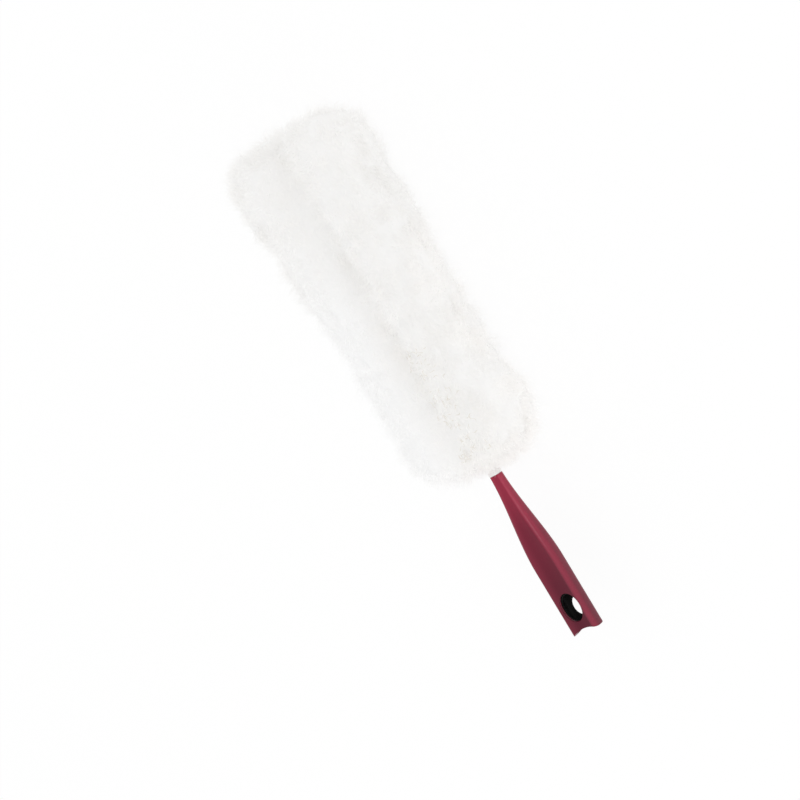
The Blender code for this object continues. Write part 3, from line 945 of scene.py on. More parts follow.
    def normal(self, along: np.ndarray, round_: np.ndarray) -> np.ndarray:
        """Outward unit normals, from the cross product of small steps in both parameters."""
        low, high = np.clip(along - self.probe, 0, 1), np.clip(along + self.probe, 0, 1)
        forward = self.point(high, round_) - self.point(low, round_)
        around = self.point(along, round_ + self.probe_turn) - self.point(along, round_ - self.probe_turn)
        return unit(np.cross(around, forward))


@dataclass(frozen=True)
class FibreKind:
    """One kind of loose fibre.

    Attributes:
        word: The kind's name in its pieces' names.
        share: The kind's share of all loose fibres of a quarter.
        rings: Points along a fibre.
        width: A fibre's width at its root.
        lean: How far a tip leans along the surface.
        lift: The least and the most that a tip stands out of the form.
        gather: The share by which tips of a tuft draw together.
        crimp: The depth of a fibre's waves.
        wave: The length of a wave.
    """

    word: str
    share: float
    rings: int
    width: float
    lean: float
    lift: tuple[float, float]
    gather: float
    crimp: float
    wave: float


@dataclass
class Fluff:
    """The head's fluff: dense lobes above and below, and loose crimped fibres that grow out of them.

    Attributes:
        axis: The duster's axis.
        low_side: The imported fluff's lowest Y from the axis.
        high_side: Its highest Y from the axis.
        form: The outside of the fibres.
        core: The outside of the dense lobes.
        counts: Loose fibres on an upper and on a lower quarter.
        tufts: Tufts on the whole head.
        tuft_lift: The least and the most that a tuft stands out of the form.
        depth: How deep in the form a fibre has its root.
        seat: Half the height that stays free for the fork and its pockets.
        seat_edge: The same beside the prongs, over the panels' outer seam.
        seat_slope: From where to where across the one turns into the other.
        seat_half_width: Half the width that stays free.
        overlap: How far a fibre may reach into the other half of the head, clear of the seat.
        seat_end: Where the pockets end, from the neck's mouth.
        neck: Half the width and half the thickness that stay free round the collar.
        collar_front: Where the collar ends, from the neck's mouth.
        floor_gap: The least height of a fibre over the floor.
        proud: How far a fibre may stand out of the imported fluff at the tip, the sides and the top.
        stray: How much a fibre's own direction counts beside its tuft's.
        lift_power: The power that makes fibres that stand out far rarer.
        reach_vary: How fibres differ in reach: the least factor, and how much more it may be.
        depth_vary: The same for their roots' depth.
        crimp_vary: The same for their waves' depth.
        width_vary: The same for their width.
        curl_along: Between which first parameters of the form the valley's curls lie.
        curl_turn: How far right of the middle they lie, in radians.
        curl_spread: How widely they are spread about that, in radians.
        curl_far: The most that one lies out of the spread.
        curl_scale: The form's length, and its radius, by which a length turns into parameters.
        curl_rise: How high a curl lies off the form.
        half_gap: How far a lower lobe's edge stays under the middle plane.
        lobe_overlap: How far an upper lobe's edge reaches under it.
        quarter_overlap: How far a quarter's fibres reach into the next, in radians.
        lobe_span: Between which first parameters the dense lobes lie.
        lobe_curls: The size and depth of each relief on them.
        seat_shares: The most that the seat's corners reach across, as shares of the section's half.
        seat_margin: How much wider than the seat a section has to be, if it is to have an edge of its own.
        scatter_cells: Cells along and round a quarter that fibres are spread over.
        scatter_span: Between which first parameters they are.
        soft: The length over which a fibre bends away from what it keeps off.
        overlap_least: The least share of the overlap that a fibre takes.
        collar_margin: How far beside the collar fibres still keep in front of it.
        neck_margin: How far beside it they keep over it.
        neck_rise: How far over it they keep.
        seat_gap: The least gap over the seat, to which seat_layer adds up to its own.
        floor_layer: How thick the layer of pressed fibres is, which floor_soft rounds.
    """

    axis: Axis
    low_side: float
    high_side: float
    form: HeadForm
    core: HeadForm
    seat_end: float
    collar_front: float
    neck: tuple[float, float]
    counts: dict = field(default_factory=lambda: {Level.UPPER: 14000, Level.LOWER: 9400})
    tufts: int = 760
    tuft_lift: tuple[float, float] = (-0.0030, 0.0040)
    depth: float = 0.0070
    seat: float = 0.0038
    seat_edge: float = 0.0015
    seat_slope: tuple[float, float] = (0.0312, 0.0345)
    seat_half_width: float = 0.0370
    overlap: float = 0.0060
    overlap_least: float = 0.4
    collar_margin: float = 0.002
    collar_soft: float = 0.003
    neck_margin: float = 0.0005
    neck_rise: float = 0.0006
    neck_fade: float = 0.008
    seat_gap: float = 0.0003
    seat_layer: float = 0.0012
    seat_fade: float = 0.006
    floor_layer: float = 0.0014
    floor_soft: float = 0.0012
    floor_gap: float = 0.0003
    proud: tuple[float, float, float] = (0.017, 0.0070, 0.0110)
    kinds: tuple = (
        FibreKind("under", 0.34, 5, 0.00047, 0.0070, (-0.0030, -0.0002), 0.12, 0.0006, 0.0100),
        FibreKind("middle", 0.38, 6, 0.00041, 0.0090, (-0.0015, 0.0012), 0.28, 0.0007, 0.0105),
        FibreKind("outer", 0.26, 8, 0.00032, 0.0105, (-0.0008, 0.0018), 0.50, 0.0009, 0.0090),
        FibreKind("wisp", 0.02, 9, 0.00022, 0.0115, (0.0005, 0.0045), 0.45, 0.0012, 0.0080),
    )
    stray: float = 0.9
    lift_power: float = 1.5
    reach_vary: tuple[float, float] = (0.55, 0.9)
    depth_vary: tuple[float, float] = (0.85, 0.3)
    crimp_vary: tuple[float, float] = (0.5, 1.0)
    width_vary: tuple[float, float] = (0.75, 0.5)
    curl_count: int = 90
    curl_rings: int = 26
    curl_along: tuple[float, float] = (0.17, 0.40)
    curl_turn: float = 0.34
    curl_spread: float = 0.20
    curl_far: float = 1.6
    curl_length: tuple[float, float] = (0.006, 0.014)
    curl_scale: tuple[float, float] = (0.52, 0.070)
    curl_wave: float = 0.0085
    curl_depth: float = 0.0012
    curl_rise: float = 0.0009
    curl_width: float = 0.0014
    half_gap: float = 0.00015
    lobe_overlap: float = 0.0012
    quarter_overlap: float = 0.045
    lobe_span: tuple[float, float] = (0.015, 0.985)
    lobe_rings: int = 240
    lobe_steps: int = 130
    lobe_curls: tuple = ((0.0060, 0.0007), (0.0030, 0.0004))
    seat_shares: tuple[float, float, float] = (0.97, 0.965, 0.96)
    seat_margin: float = 0.002
    scatter_cells: tuple[int, int] = (200, 90)
    scatter_span: tuple[float, float] = (0.004, 0.996)
    soft: float = 0.004

    @classmethod
    def from_frame(cls, axis: Axis) -> "Fluff":
        """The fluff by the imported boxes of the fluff, the panels and the collar."""
        _, panel_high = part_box("sleeve_upper_panel")
        collar_low, collar_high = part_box("neck_collar")
        form = HeadForm.from_frame(axis)
        return cls(
            axis=axis,
            low_side=-form.right,
            high_side=form.left,
            form=form,
            core=HeadForm.from_frame(axis, inset=0.0034),
            seat_end=panel_high.x - axis.x + 0.001,
            collar_front=collar_high.x - axis.x,
            neck=((collar_high.y - collar_low.y) / 2, (collar_high.z - collar_low.z) / 2),
        )

    def quarter(self, level: Level, side: Side) -> tuple[float, float]:
        """The first and the last angle round of a quarter, which reaches a little into its neighbours."""
        number = {(1, 1): 0, (1, -1): 1, (-1, -1): 2, (-1, 1): 3}[level.value, side.value]
        first, last = number * math.pi / 2, (number + 1) * math.pi / 2
        return first - self.quarter_overlap, last + self.quarter_overlap

    def build(self) -> None:
        """Makes the lobes of both levels, the loose fibres of every quarter and the valley's curls."""
        for level in Level:
            word = level.name.lower()
            nodes = [f"fluff_{word}_{side.name.lower()}" for side in Side]
            lobes = self.lobes(f"fluff_{word}_lobes", level)
            finish_piece(lobes, DENSE_FIBRE, Body.SLEEVE, Slot.FIBRE, *nodes)
        for number, (level, side) in enumerate((level, side) for level in Level for side in Side):
            node = f"fluff_{level.name}_{side.name}".lower()
            for kind in self.kinds:
                rng = np.random.default_rng(SEED + number * len(self.kinds) + self.kinds.index(kind))
                fibres = self.fibres(f"{node}_{kind.word}_fibres", level, side, kind, rng)
                finish_piece(fibres, LOOSE_FIBRE, Body.SLEEVE, Slot.FIBRE, node)
        curls = self.curls("fluff_valley_curls", np.random.default_rng(SEED + 40))
        finish_piece(curls, CURLED_FIBRE, Body.SLEEVE, Slot.FIBRE)

    def curls(self, name: str, rng: np.random.Generator) -> bpy.types.Object:
        """Thicker curled fibres that lie on the valley near the mouth, in a darker white of painted shade.

        A curl follows the form: both parameters run in even steps from its middle, in a random
        direction, and its waves are a sine across that direction and a cosine off the form.

        Args:
            name: The piece's name.
            rng: The source of random numbers.

        Returns:
            The curls.
        """
        count, rings = self.curl_count, self.curl_rings
        along = rng.uniform(*self.curl_along, (count, 1))
        beside = np.clip(rng.normal(size=(count, 1)), -self.curl_far, self.curl_far) * self.curl_spread
        round_ = math.pi / 2 + self.curl_turn + beside
        way = rng.uniform(0, 2 * math.pi, (count, 1))
        t = np.linspace(-0.5, 0.5, rings)[None, :]
        length = rng.uniform(*self.curl_length, (count, 1))
        path_along = along + t * length * np.cos(way) / self.curl_scale[0]
        path_round = round_ + t * length * np.sin(way) / self.curl_scale[1]
        line, normal = self.form.point(path_along, path_round), self.form.normal(path_along, path_round)
        across = unit(np.cross(normal, unit(np.gradient(line, axis=1))))
        turns = t * length / self.curl_wave * 2 * math.pi + rng.uniform(0, 2 * math.pi, (count, 1))
        depth = self.curl_depth * rng.uniform(0.5, 1.2, (count, 1))
        rise = self.curl_rise + 0.5 * depth * np.cos(turns)
        line = line + across * (depth * np.sin(turns))[..., None] + normal * rise[..., None]
        radius = self.curl_width / 2 * rng.uniform(0.6, 1.1, (count, 1)) * (1 - 0.8 * np.abs(2 * t) ** 3)
        return self.tubes(name, line, radius, rng)

    def lobes(self, name: str, level: Level) -> bpy.types.Object:
        """The dense lobes of one level: the drawn-in form over a seat for the fork in its pockets.

        A ring is the form's half section from the left to the right, then the seat's six corners.
        The upper lobes' edge reaches a little under the middle plane, so that no slit shows there.
        Where the section is hardly wider than the seat, its sides end at the seat's height.

        Args:
            name: The piece's name.
            level: Upper or lower.

        Returns:
            The lobes.
        """
        along = np.linspace(*self.lobe_span, self.lobe_rings)[:, None]
        round_ = np.linspace(0, math.pi, self.lobe_steps)[None, :] * level.value
        arch = self.core.point(along, round_)
        curls = sum(depth * lattice_noise(arch, cell, 5) for cell, depth in self.lobe_curls)
        arch = arch + unit(arch * np.array([0, 1, 1])) * curls[..., None]
        x, y, height = arch[..., 0], arch[..., 1], level.value * arch[..., 2]
        seat = np.where(x[:, :1] < self.seat_end, self.seat, self.half_gap)
        left, right = y[:, :1], y[:, -1:]
        narrow = np.minimum(left, -right) < self.seat_half_width + self.seat_margin
        edge = np.where(narrow, seat, self.half_gap if level is Level.LOWER else -self.lobe_overlap)
        height = np.maximum(height, edge)
        places = (self.seat_half_width, self.seat_slope[1], self.seat_slope[0])
        ups = (edge, np.maximum(np.minimum(seat, self.seat_edge), edge), seat)
        parts = list(zip(self.seat_shares, places, ups))
        corners = [(np.maximum(right * part, -across), up) for part, across, up in parts]
        corners += [(np.minimum(left * part, across), up) for part, across, up in reversed(parts)]
        y = np.concatenate([y] + [across for across, _ in corners], axis=1)
        height = np.concatenate([height] + [up for _, up in corners], axis=1)
        z = level.value * height
        if level is Level.LOWER:
            z = np.maximum(z, -self.axis.z + 2 * self.floor_gap)
        made = closed_skin(name, self.axis.place(np.broadcast_to(x[:, :1], y.shape), y, z))
        shade(made, SHARP_LOBE)
        return made

    def scatter(self, count: int, span: tuple[float, float], rng: np.random.Generator) -> np.ndarray:
        """Places spread evenly by area over a quarter of the form.

        The quarter is cut into cells by both parameters. Even steps through the running sum of
        the cells' areas, each shifted at random, choose the cells, and a place in each is random.

        Args:
            count: How many places.
            span: The quarter's first and last angle.
            rng: The source of random numbers.

        Returns:
            The first parameter and the angle of each place.
        """
        rows, columns = self.scatter_cells
        along = np.linspace(*self.scatter_span, rows + 1)
        round_ = np.linspace(*span, columns + 1)
        points = self.form.point(along[:, None], round_[None, :])
        across = points[1:, 1:] - points[:-1, :-1]
        back = points[1:, :-1] - points[:-1, 1:]
        area = np.linalg.norm(np.cross(across, back), axis=-1).ravel()
        running = np.cumsum(area) / area.sum()
        chosen = np.searchsorted(running, (np.arange(count) + rng.random(count)) / count)
        chosen = np.minimum(chosen, rows * columns - 1)
        row, column = np.divmod(chosen, columns)
        steps = along[1] - along[0], round_[1] - round_[0]
        forward, around = rng.random(count), rng.random(count)
        return np.stack([along[row] + steps[0] * forward, round_[column] + steps[1] * around])

    def fibres(
        self, name: str, level: Level, side: Side, kind: FibreKind, rng: np.random.Generator
    ) -> bpy.types.Object:
        """The loose fibres of one kind on a quarter, each a closed tapered tube of three sides.

        A fibre's line is a quadratic curve: from its root in the dense lobe, out along the form's
        normal, then over to its tip, which leans the way of its tuft and draws in to the tuft's
        middle. Waves of the crimp are added across it.

        Args:
            name: The piece's name.
            level: Upper or lower.
            side: Left or right.
            kind: The kind of fibre.
            rng: The source of random numbers.

        Returns:
            The fibres.
        """
        count = int(self.counts[level] * kind.share)
        span = self.quarter(level, side)
        own = self.scatter(count, span, rng)
        middles = self.scatter(self.tufts, (0.0, 2 * math.pi), np.random.default_rng(SEED))
        place, normal = self.form.point(*own), self.form.normal(*own)
        tuft_place, tuft_normal = self.form.point(*middles), self.form.normal(*middles)
        tuft_lean, tuft_lift = self.tuft_ways(tuft_normal)
        apart = np.linalg.norm(place[:, None] - tuft_place[None], axis=-1)
        tuft = apart.argmin(axis=1)

        stray = unit(rng.normal(size=(count, 3)))
        lean = unit(tuft_lean[tuft] + self.stray * stray)
        reach = kind.lean * varied(self.reach_vary, rng, count)[:, None]
        lift = blend(kind.lift, rng.random(count) ** self.lift_power)
        lift = (lift + tuft_lift[tuft])[:, None]
        root = place - normal * self.depth * varied(self.depth_vary, rng, count)[:, None]
        tip = place + lean * reach + (tuft_place[tuft] - place) * kind.gather + normal * lift
        bend = place + normal * (lift * 0.6 - 0.001) + lean * reach * 0.15

        t = np.linspace(0, 1, kind.rings)[None, :, None]
        line = root[:, None] * (1 - t) ** 2 + bend[:, None] * 2 * t * (1 - t) + tip[:, None] * t**2
        length = np.linalg.norm(np.diff(line, axis=1), axis=-1).sum(axis=1)
        first = unit(np.cross(normal, stray))[:, None]
        second = unit(np.cross(tip - root, stray))[:, None]
        turns = (length / kind.wave)[:, None, None] * t * 2 * math.pi
        turns = turns + 2 * math.pi * rng.random((count, 1, 1))
        wave = kind.crimp * varied(self.crimp_vary, rng, count, 1, 1) * np.minimum(2.5 * t, 1)
        line = line + wave * (first * np.sin(turns) + second * 0.6 * np.cos(turns * 0.83))
        line = self.clear(line, level, rng.random((count, 1)))

        radius = kind.width / 2 * varied(self.width_vary, rng, count, 1) * (1 - 0.8 * t[..., 0] ** 2.2)
        return self.tubes(name, line, radius, rng)

    def tuft_ways(self, normal: np.ndarray) -> tuple[np.ndarray, np.ndarray]:
        """A random direction along the surface for each tuft, and how far it stands out."""
        rng = np.random.default_rng(SEED + 1)
        lean = unit(np.cross(normal, unit(rng.normal(size=normal.shape))))
        return lean, rng.uniform(*self.tuft_lift, size=len(normal))

    def clear(self, line: np.ndarray, level: Level, own: np.ndarray) -> np.ndarray:
        """Keeps fibres off the fork, its pockets, the collar and the floor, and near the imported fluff.

        Heights nearer to the axis than the free height there are raised to it. Away from the seat
        a fibre may cross the middle plane instead, which hides the edge between the lobes. Near the floor a
        height turns smoothly into a small one of its own, so that pressed fibres lie in a layer.

        Args:
            line: Points of the fibres by fibre, ring and X, Y, Z.
            level: Upper or lower.
            own: A random number for each fibre.

        Returns:
            The points.
        """
        x, y, z = np.moveaxis(line, -1, 0)
        over_collar = 1 - ease((np.abs(y) - self.neck[0] - self.collar_margin) / self.soft)
        x = at_least(x, self.collar_front * over_collar, self.collar_soft)
        x = -at_least(-x, -self.form.start - self.form.length - self.proud[0], self.soft)
        y = at_least(y, self.low_side - self.proud[1], self.soft)
        y = -at_least(-y, -self.high_side - self.proud[1], self.soft)
        away = np.abs(y)
        near_neck = 1 - ease((x - self.collar_front) / self.neck_fade)
        beside = 1 - ease((away - self.neck[0] - self.neck_margin) / self.soft)
        slope = ease((away - self.seat_slope[0]) / (self.seat_slope[1] - self.seat_slope[0]))
        free = self.seat + (self.neck[1] + self.neck_rise - self.seat) * near_neck * beside
        free = free + (self.seat_edge - self.seat) * slope + self.seat_gap + own * self.seat_layer
        outside = ease((away - self.seat_half_width) / self.seat_fade)
        outside = np.maximum(outside, ease((x - self.seat_end) / self.seat_fade))
        free = free - (free + self.overlap * blend((self.overlap_least, 1.0), own)) * outside
        height = level.value * z
        height = at_least(height, free, self.soft)
        height = -at_least(-height, -self.form.height - self.proud[2], self.soft)
        if level is Level.LOWER:
            lowest = self.axis.z - self.floor_gap - own * self.floor_layer
            over = self.axis.z - height - self.floor_gap - own * self.floor_layer
            height = lowest - self.floor_soft * np.logaddexp(0, over / self.floor_soft)
        return np.stack([x, y, level.value * height], axis=-1)

    def tubes(
        self, name: str, line: np.ndarray, radius: np.ndarray, rng: np.random.Generator
    ) -> bpy.types.Object:
        """Closed tubes of three sides along lines, with a cell of the UV map for each.

        A ring lies across the line's direction: its corners are the line's point plus the radius
        times the cosine and the sine of thirds of a turn on two cross directions.

        Args:
            name: The piece's name.
            line: Points by tube, ring and X, Y, Z.
            radius: The radius by tube and ring.
            rng: The source of random numbers.

        Returns:
            The tubes as one piece.
        """
        count, rings, _ = line.shape
        forward = unit(np.gradient(line, axis=1))
        guide = unit(rng.normal(size=(count, 1, 3)))
        first = unit(np.cross(forward, guide))
        second = np.cross(forward, first)
        turn = np.arange(3) * 2 * math.pi / 3
        ring = first[:, :, None] * np.cos(turn)[:, None] + second[:, :, None] * np.sin(turn)[:, None]
        points = line[:, :, None] + radius[..., None, None] * ring

        index = np.arange(rings * 3).reshape(rings, 3)
        near, far = index[:-1], index[1:]
        quads = np.stack([near, np.roll(near, -1, 1), np.roll(far, -1, 1), far], axis=-1).reshape(-1, 4)
        corners = np.concatenate([quads.ravel(), index[0, ::-1], index[-1]])
        counts = np.concatenate([np.full(len(quads), 4), [3, 3]])

        low, high = 0.12, 0.88
        u = low + (high - low) * np.arange(4) / 3
        v = low + (high - low) * np.arange(rings) / (rings - 1)
        step, side = np.meshgrid(np.arange(rings - 1), np.arange(3), indexing="ij")
        strip = np.stack(
            [
                np.stack([u[side], v[step]], -1),
                np.stack([u[side + 1], v[step]], -1),
                np.stack([u[side + 1], v[step + 1]], -1),
                np.stack([u[side], v[step + 1]], -1),
            ],
            axis=2,
        ).reshape(-1, 2)
        cap = np.array([[0.2, 0.0], [0.8, 0.0], [0.5, 1.0]]) * [1, low * 0.8]
        cell = np.concatenate([strip, cap[::-1], cap + [0, high + low * 0.1]])
        columns = math.ceil(math.sqrt(count))
        rows = math.ceil(count / columns)
        number = np.arange(count)
        origin = np.stack([number % columns, number // columns], axis=-1)
        places = (cell[None] + origin[:, None]) / [columns, rows]

        offset = number[:, None] * rings * 3
        world = self.axis.place(*np.moveaxis(points.reshape(-1, 3), -1, 0))
        reach = np.broadcast_to(np.linspace(0, 1, rings)[None, :, None], (count, rings, 3))
        tone = np.broadcast_to(rng.random((count, 1, 1)), (count, rings, 3))
        return MeshArrays(
            world,
            (corners[None] + offset).ravel(),
            np.tile(counts, count),
            {"reach": reach.ravel(), "tone": tone.ravel()},
            places.reshape(-1, 2),
        ).to_object(name, smooth=False)


@dataclass
class Pockets:
    """The sleeve's two cloth panels, which are joined along the middle and the edges into two pockets.

    Attributes:
        axis: The duster's axis.
        start: The pockets' mouth, from the neck's mouth.
        end: The panels' far end.
        half_width: Half a panel's width.
        thickness: The cloth's.
        seam_gap: The gap between the panels at their seams.
        raised: How high a panel is raised over a prong.
        inner: Where a pocket starts across, from the middle.
        outer: Where it ends.
        closed_end: The length of the slope at the far end.
    """

    axis: Axis
    start: float
    end: float
    half_width: float
    thickness: float = 0.0008
    seam_gap: float = 0.0003
    raised: float = 0.0023
    ramp: float = 0.0032
    inner: float = 0.0113
    outer: float = 0.0287
    closed_end: float = 0.0110
    stations: int = 220
    steps: int = 96
    ripple: float = 0.00012

    @classmethod
    def from_frame(cls, axis: Axis) -> "Pockets":
        """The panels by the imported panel's box."""
        low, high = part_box("sleeve_upper_panel")
        return cls(axis, low.x - axis.x, high.x - axis.x, (high.y - low.y) / 2)

    def build(self) -> None:
        """Makes the upper and the lower panel."""
        for level in Level:
            name = f"sleeve_{level.name.lower()}_panel"
            panel = self.panel(f"{name}_cloth", level)
            finish_piece(panel, CLOTH, Body.SLEEVE, Slot.CLOTH, name)
            flat = (self.cut_width(), self.end - self.start)

    def height(self, across: np.ndarray, forward: np.ndarray) -> np.ndarray:
        """The panel's height off the seam: raised over each prong, on eased ramps on all its sides."""
        away = np.abs(across)
        rise = ease((away - self.inner + self.ramp) / (2 * self.ramp))
        fall = 1 - ease((away - self.outer + self.ramp) / (2 * self.ramp))
        shut = 1 - ease((forward - self.end + self.closed_end) / (self.closed_end * 0.55))
        return self.seam_gap / 2 + (self.raised - self.seam_gap / 2) * rise * fall * shut

    def cut_width(self) -> float:
        """The width that the cloth was cut to: the length of its section before it was raised."""
        across = np.linspace(-self.half_width, self.half_width, 400)
        rise = np.diff(self.height(across, np.array(self.start)))
        return float(np.hypot(np.diff(across), rise).sum())

    def panel(self, name: str, level: Level) -> bpy.types.Object:
        """One panel: its inner face and its outer face a thickness apart, closed all round.

        Args:
            name: The piece's name.
            level: Upper or lower.

        Returns:
            The panel.
        """
        forward = np.linspace(self.start, self.end, self.stations)[:, None]
        across = np.linspace(-self.half_width, self.half_width, self.steps)[None, :]
        inner = self.height(across, forward)
        bare = np.stack(np.broadcast_arrays(forward, across, inner), axis=-1)
        puff = lattice_noise(bare, 0.012, 9) * self.ripple
        outer = inner + self.thickness + np.minimum(puff, 0)
        faces = np.concatenate([inner, outer[:, ::-1]], axis=1) * level.value
        sides = np.broadcast_to(np.concatenate([across, across[:, ::-1]], axis=1), faces.shape)
        rings = self.axis.place(np.broadcast_to(forward, faces.shape), sides, faces)
        return closed_skin(name, rings)


def merged_copy(node: str, name: str, sharp: float) -> bpy.types.Object:
    """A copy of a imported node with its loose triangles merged, shaded smooth under an angle.

    Args:
        node: The node.
        name: The copy's name.
        sharp: Edges that turn by more than this, in degrees, stay sharp.

    Returns:
        The copy.
    """
    mesh = bpy.data.objects[node].data.copy()
    face_outwards(mesh, MERGE_DISTANCE)
    made = link(name, mesh)
    shade(made, sharp)
    return made


def shade(piece: bpy.types.Object, sharp: float) -> None:
    """Shades a piece smooth, apart from edges that turn by more than an angle in degrees."""
    piece.data.shade_smooth()
    piece.data.set_sharp_from_angle(angle=math.radians(sharp))


def cut(piece: bpy.types.Object, *cutters: bpy.types.Object) -> None:
    """Cuts closed shapes out of a piece, puts the result in its mesh and deletes the cutters."""
    for cutter in cutters:
        step = piece.modifiers.new(cutter.name, "BOOLEAN")
        step.operation = "DIFFERENCE"
        step.solver = "EXACT"
        step.object = cutter
    graph = bpy.context.evaluated_depsgraph_get()
    mesh = bpy.data.meshes.new_from_object(piece.evaluated_get(graph))
    piece.modifiers.clear()
    piece.data = mesh
    for cutter in cutters:
        bpy.data.objects.remove(cutter, do_unlink=True)


@dataclass
class Handle:
    """The moulded handle with its pole-socket liner.

    Attributes:
        axis: The duster's axis.
        length: From the neck's mouth to the tail.
        tail: The tail's width and thickness.
        neck: The neck's width and thickness.
        crest_rounding: The rounding of the crests beside it.
        dish_shares: The dish's share of the width, before and after it widens.
        dish_widens: Where behind the neck it starts to widen, and over which length.
        seat: Half the width and half the thickness of the tang's seat.
        seat_blend: The length over which it opens into the hollow.
        liner_stop: The thickness of the liner's closed end.
        window_margin: How much wider the liner's windows are than the hole.
        window_narrower: How much less wide the lower one is.
        window_shift: How far that lies further back.
        overrun: How far cutters reach past what they cut.
    """

    axis: Axis
    length: float
    tail: tuple[float, float]
    neck: tuple[float, float] = (0.0130, 0.0108)
    flare_length: float = 0.102
    straight_share: float = 0.15
    power: float = 3.2
    wall: float = 0.0020
    dish_depth: float = 0.0015
    crest_rounding: float = 0.0011
    dish_shares: tuple[float, float] = (0.50, 0.80)
    dish_widens: tuple[float, float] = (0.030, 0.078)
    hole: tuple[float, float] = (0.0215, 0.0315)
    hole_from_tail: float = 0.0285
    hole_lip: float = 0.0018
    saddle_depth: float = 0.0042
    seat: tuple[float, float] = (0.0043, 0.0033)
    seat_length: float = 0.030
    seat_blend: float = 0.030
    liner_gap: float = 0.0003
    liner_wall: float = 0.0012
    liner_stop: float = 0.0020
    window_margin: float = 0.0004
    window_narrower: float = 0.0046
    window_shift: float = 0.0040
    stations: int = 110
    sides: int = 128
    lip_steps: int = 9
    hole_sides: int = 120
    saddle_sides: int = 400
    overrun: float = 0.004

    @classmethod
    def from_frame(cls, axis: Axis) -> "Handle":
        """The handle by its packed box."""
        low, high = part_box("handle_shell")
        return cls(axis, high.x - low.x, (high.y - low.y, (axis.z - low.z) * 2))

    def build(self) -> None:
        """Makes the shell and the liner."""
        finish_piece(self.shell(), BURGUNDY, Body.HANDLE, Slot.HANDLE, "handle_shell")
        finish_piece(self.liner(), BLACK, Body.HANDLE, Slot.LINER, "pole_socket_liner")

    def size(self, back: np.ndarray) -> tuple[np.ndarray, np.ndarray, np.ndarray]:
        """Half the width, half the thickness and the share grown from neck to tail at a distance back."""
        straight = np.clip(back / self.flare_length, 0, 1)
        grown = self.straight_share * straight + (1 - self.straight_share) * ease(straight)
        width = blend((self.neck[0], self.tail[0]), grown)
        thickness = blend((self.neck[1], self.tail[1]), grown)
        return width / 2, thickness / 2, grown

    def oblong(
        self, half_width: np.ndarray, half_height: np.ndarray, sides: int
    ) -> tuple[np.ndarray, np.ndarray]:
        """Points round a superellipse: half sizes times the cosine and sine to the power 2 over p."""
        turn = np.arange(sides)[None, :] * 2 * math.pi / sides
        across, up = np.cos(turn), np.sin(turn)
        share = 2 / self.power
        return (
            half_width * np.sign(across) * np.abs(across) ** share,
            half_height * np.sign(up) * np.abs(up) ** share,
        )

    def dish(self, back: np.ndarray, across: np.ndarray) -> np.ndarray:
        """The thumb dish's height: its crest less a depth times one less the share across squared."""
        half_width, half_thickness, grown = self.size(back)
        widened = ease((back - self.dish_widens[0]) / self.dish_widens[1])
        share = blend(self.dish_shares, widened)
        crest = half_thickness * (1 - share**self.power) ** (1 / self.power)
        return crest - self.dish_depth * grown * (1 - (across / (half_width * share)) ** 2)

    def outside(self, back: np.ndarray) -> np.ndarray:
        """Rings of the outside: the oblong, with the dish sunk in its top behind a rounded crest."""
        half_width, half_thickness, _ = self.size(back)
        across, up = self.oblong(half_width, half_thickness, self.sides)
        dish = self.dish(back, across)
        mix = np.clip(0.5 + 0.5 * (dish - up) / self.crest_rounding, 0, 1)
        lower = dish + (up - dish) * mix - self.crest_rounding * mix * (1 - mix)
        return self.axis.place(-back, across, np.where(up > half_thickness / 2, lower, up))

    def hollow(self, back: np.ndarray, inset: float, place: np.ndarray | None = None) -> np.ndarray:
        """Rings of the hollow: the tang's seat at the neck, then an even wall behind it.

        Args:
            back: Distances back from the mouth, as a column.
            inset: How far the rings are drawn in.
            place: Where the rings lie, if it isn't there.

        Returns:
            The rings.
        """
        half_width, half_thickness, _ = self.size(back)
        opened = ease((back - self.seat_length) / self.seat_blend)
        width = self.seat[0] + (half_width - self.wall - self.seat[0]) * opened
        top = self.seat[1] + (self.dish(back, np.zeros_like(back)) - self.wall - self.seat[1]) * opened
        bottom = -self.seat[1] - (half_thickness - self.wall - self.seat[1]) * opened
        across, up = self.oblong(width - inset, (top - bottom) / 2 - inset, self.sides)
        return self.axis.place(-(back if place is None else place), across, up + (top + bottom) / 2)

    def hole_cutter(
        self, margin: float, lip: float, narrower: float = 0.0, shift: float = 0.0
    ) -> bpy.types.Object:
        """The oval hole's cutter: a turned profile, drawn out along X, that widens at both lips.

        Args:
            margin: How much wider it is than the hole on each side.
            lip: The lips' rounding.
            narrower: How much less it is than that on each side at its lower end.
            shift: How far its lower end lies further back.

        Returns:
            The cutter.
        """
        back = np.array([self.length - self.hole_from_tail])
        _, half_thickness, _ = self.size(back)
        top, bottom = float(self.dish(back, np.array([self.hole[0] / 2]))[0]), -float(half_thickness[0])
        inner = self.hole[0] / 2 + margin
        turn = np.linspace(0, math.pi / 2, self.lip_steps)
        radius = inner + lip - lip * np.sin(turn)
        drop = lip * (1 - np.cos(turn))
        radii = np.concatenate([[inner + lip], radius, radius[::-1] - narrower, [inner + lip - narrower]])
        heights = [[top + self.overrun], top - drop, (bottom + drop)[::-1], [bottom - self.overrun]]
        heights = np.concatenate(heights)
        around = np.linspace(0, 2 * math.pi, self.hole_sides, endpoint=False)[None, :]
        stretch = (self.hole[1] + 2 * margin) / (self.hole[0] + 2 * margin)
        further = np.where(heights < 0, shift, 0.0)[:, None]
        x = -back - further + radii[:, None] * np.cos(around) * stretch
        y = radii[:, None] * np.sin(around)
        return closed_skin("hole cutter", self.axis.place(x, y, heights[:, None]))

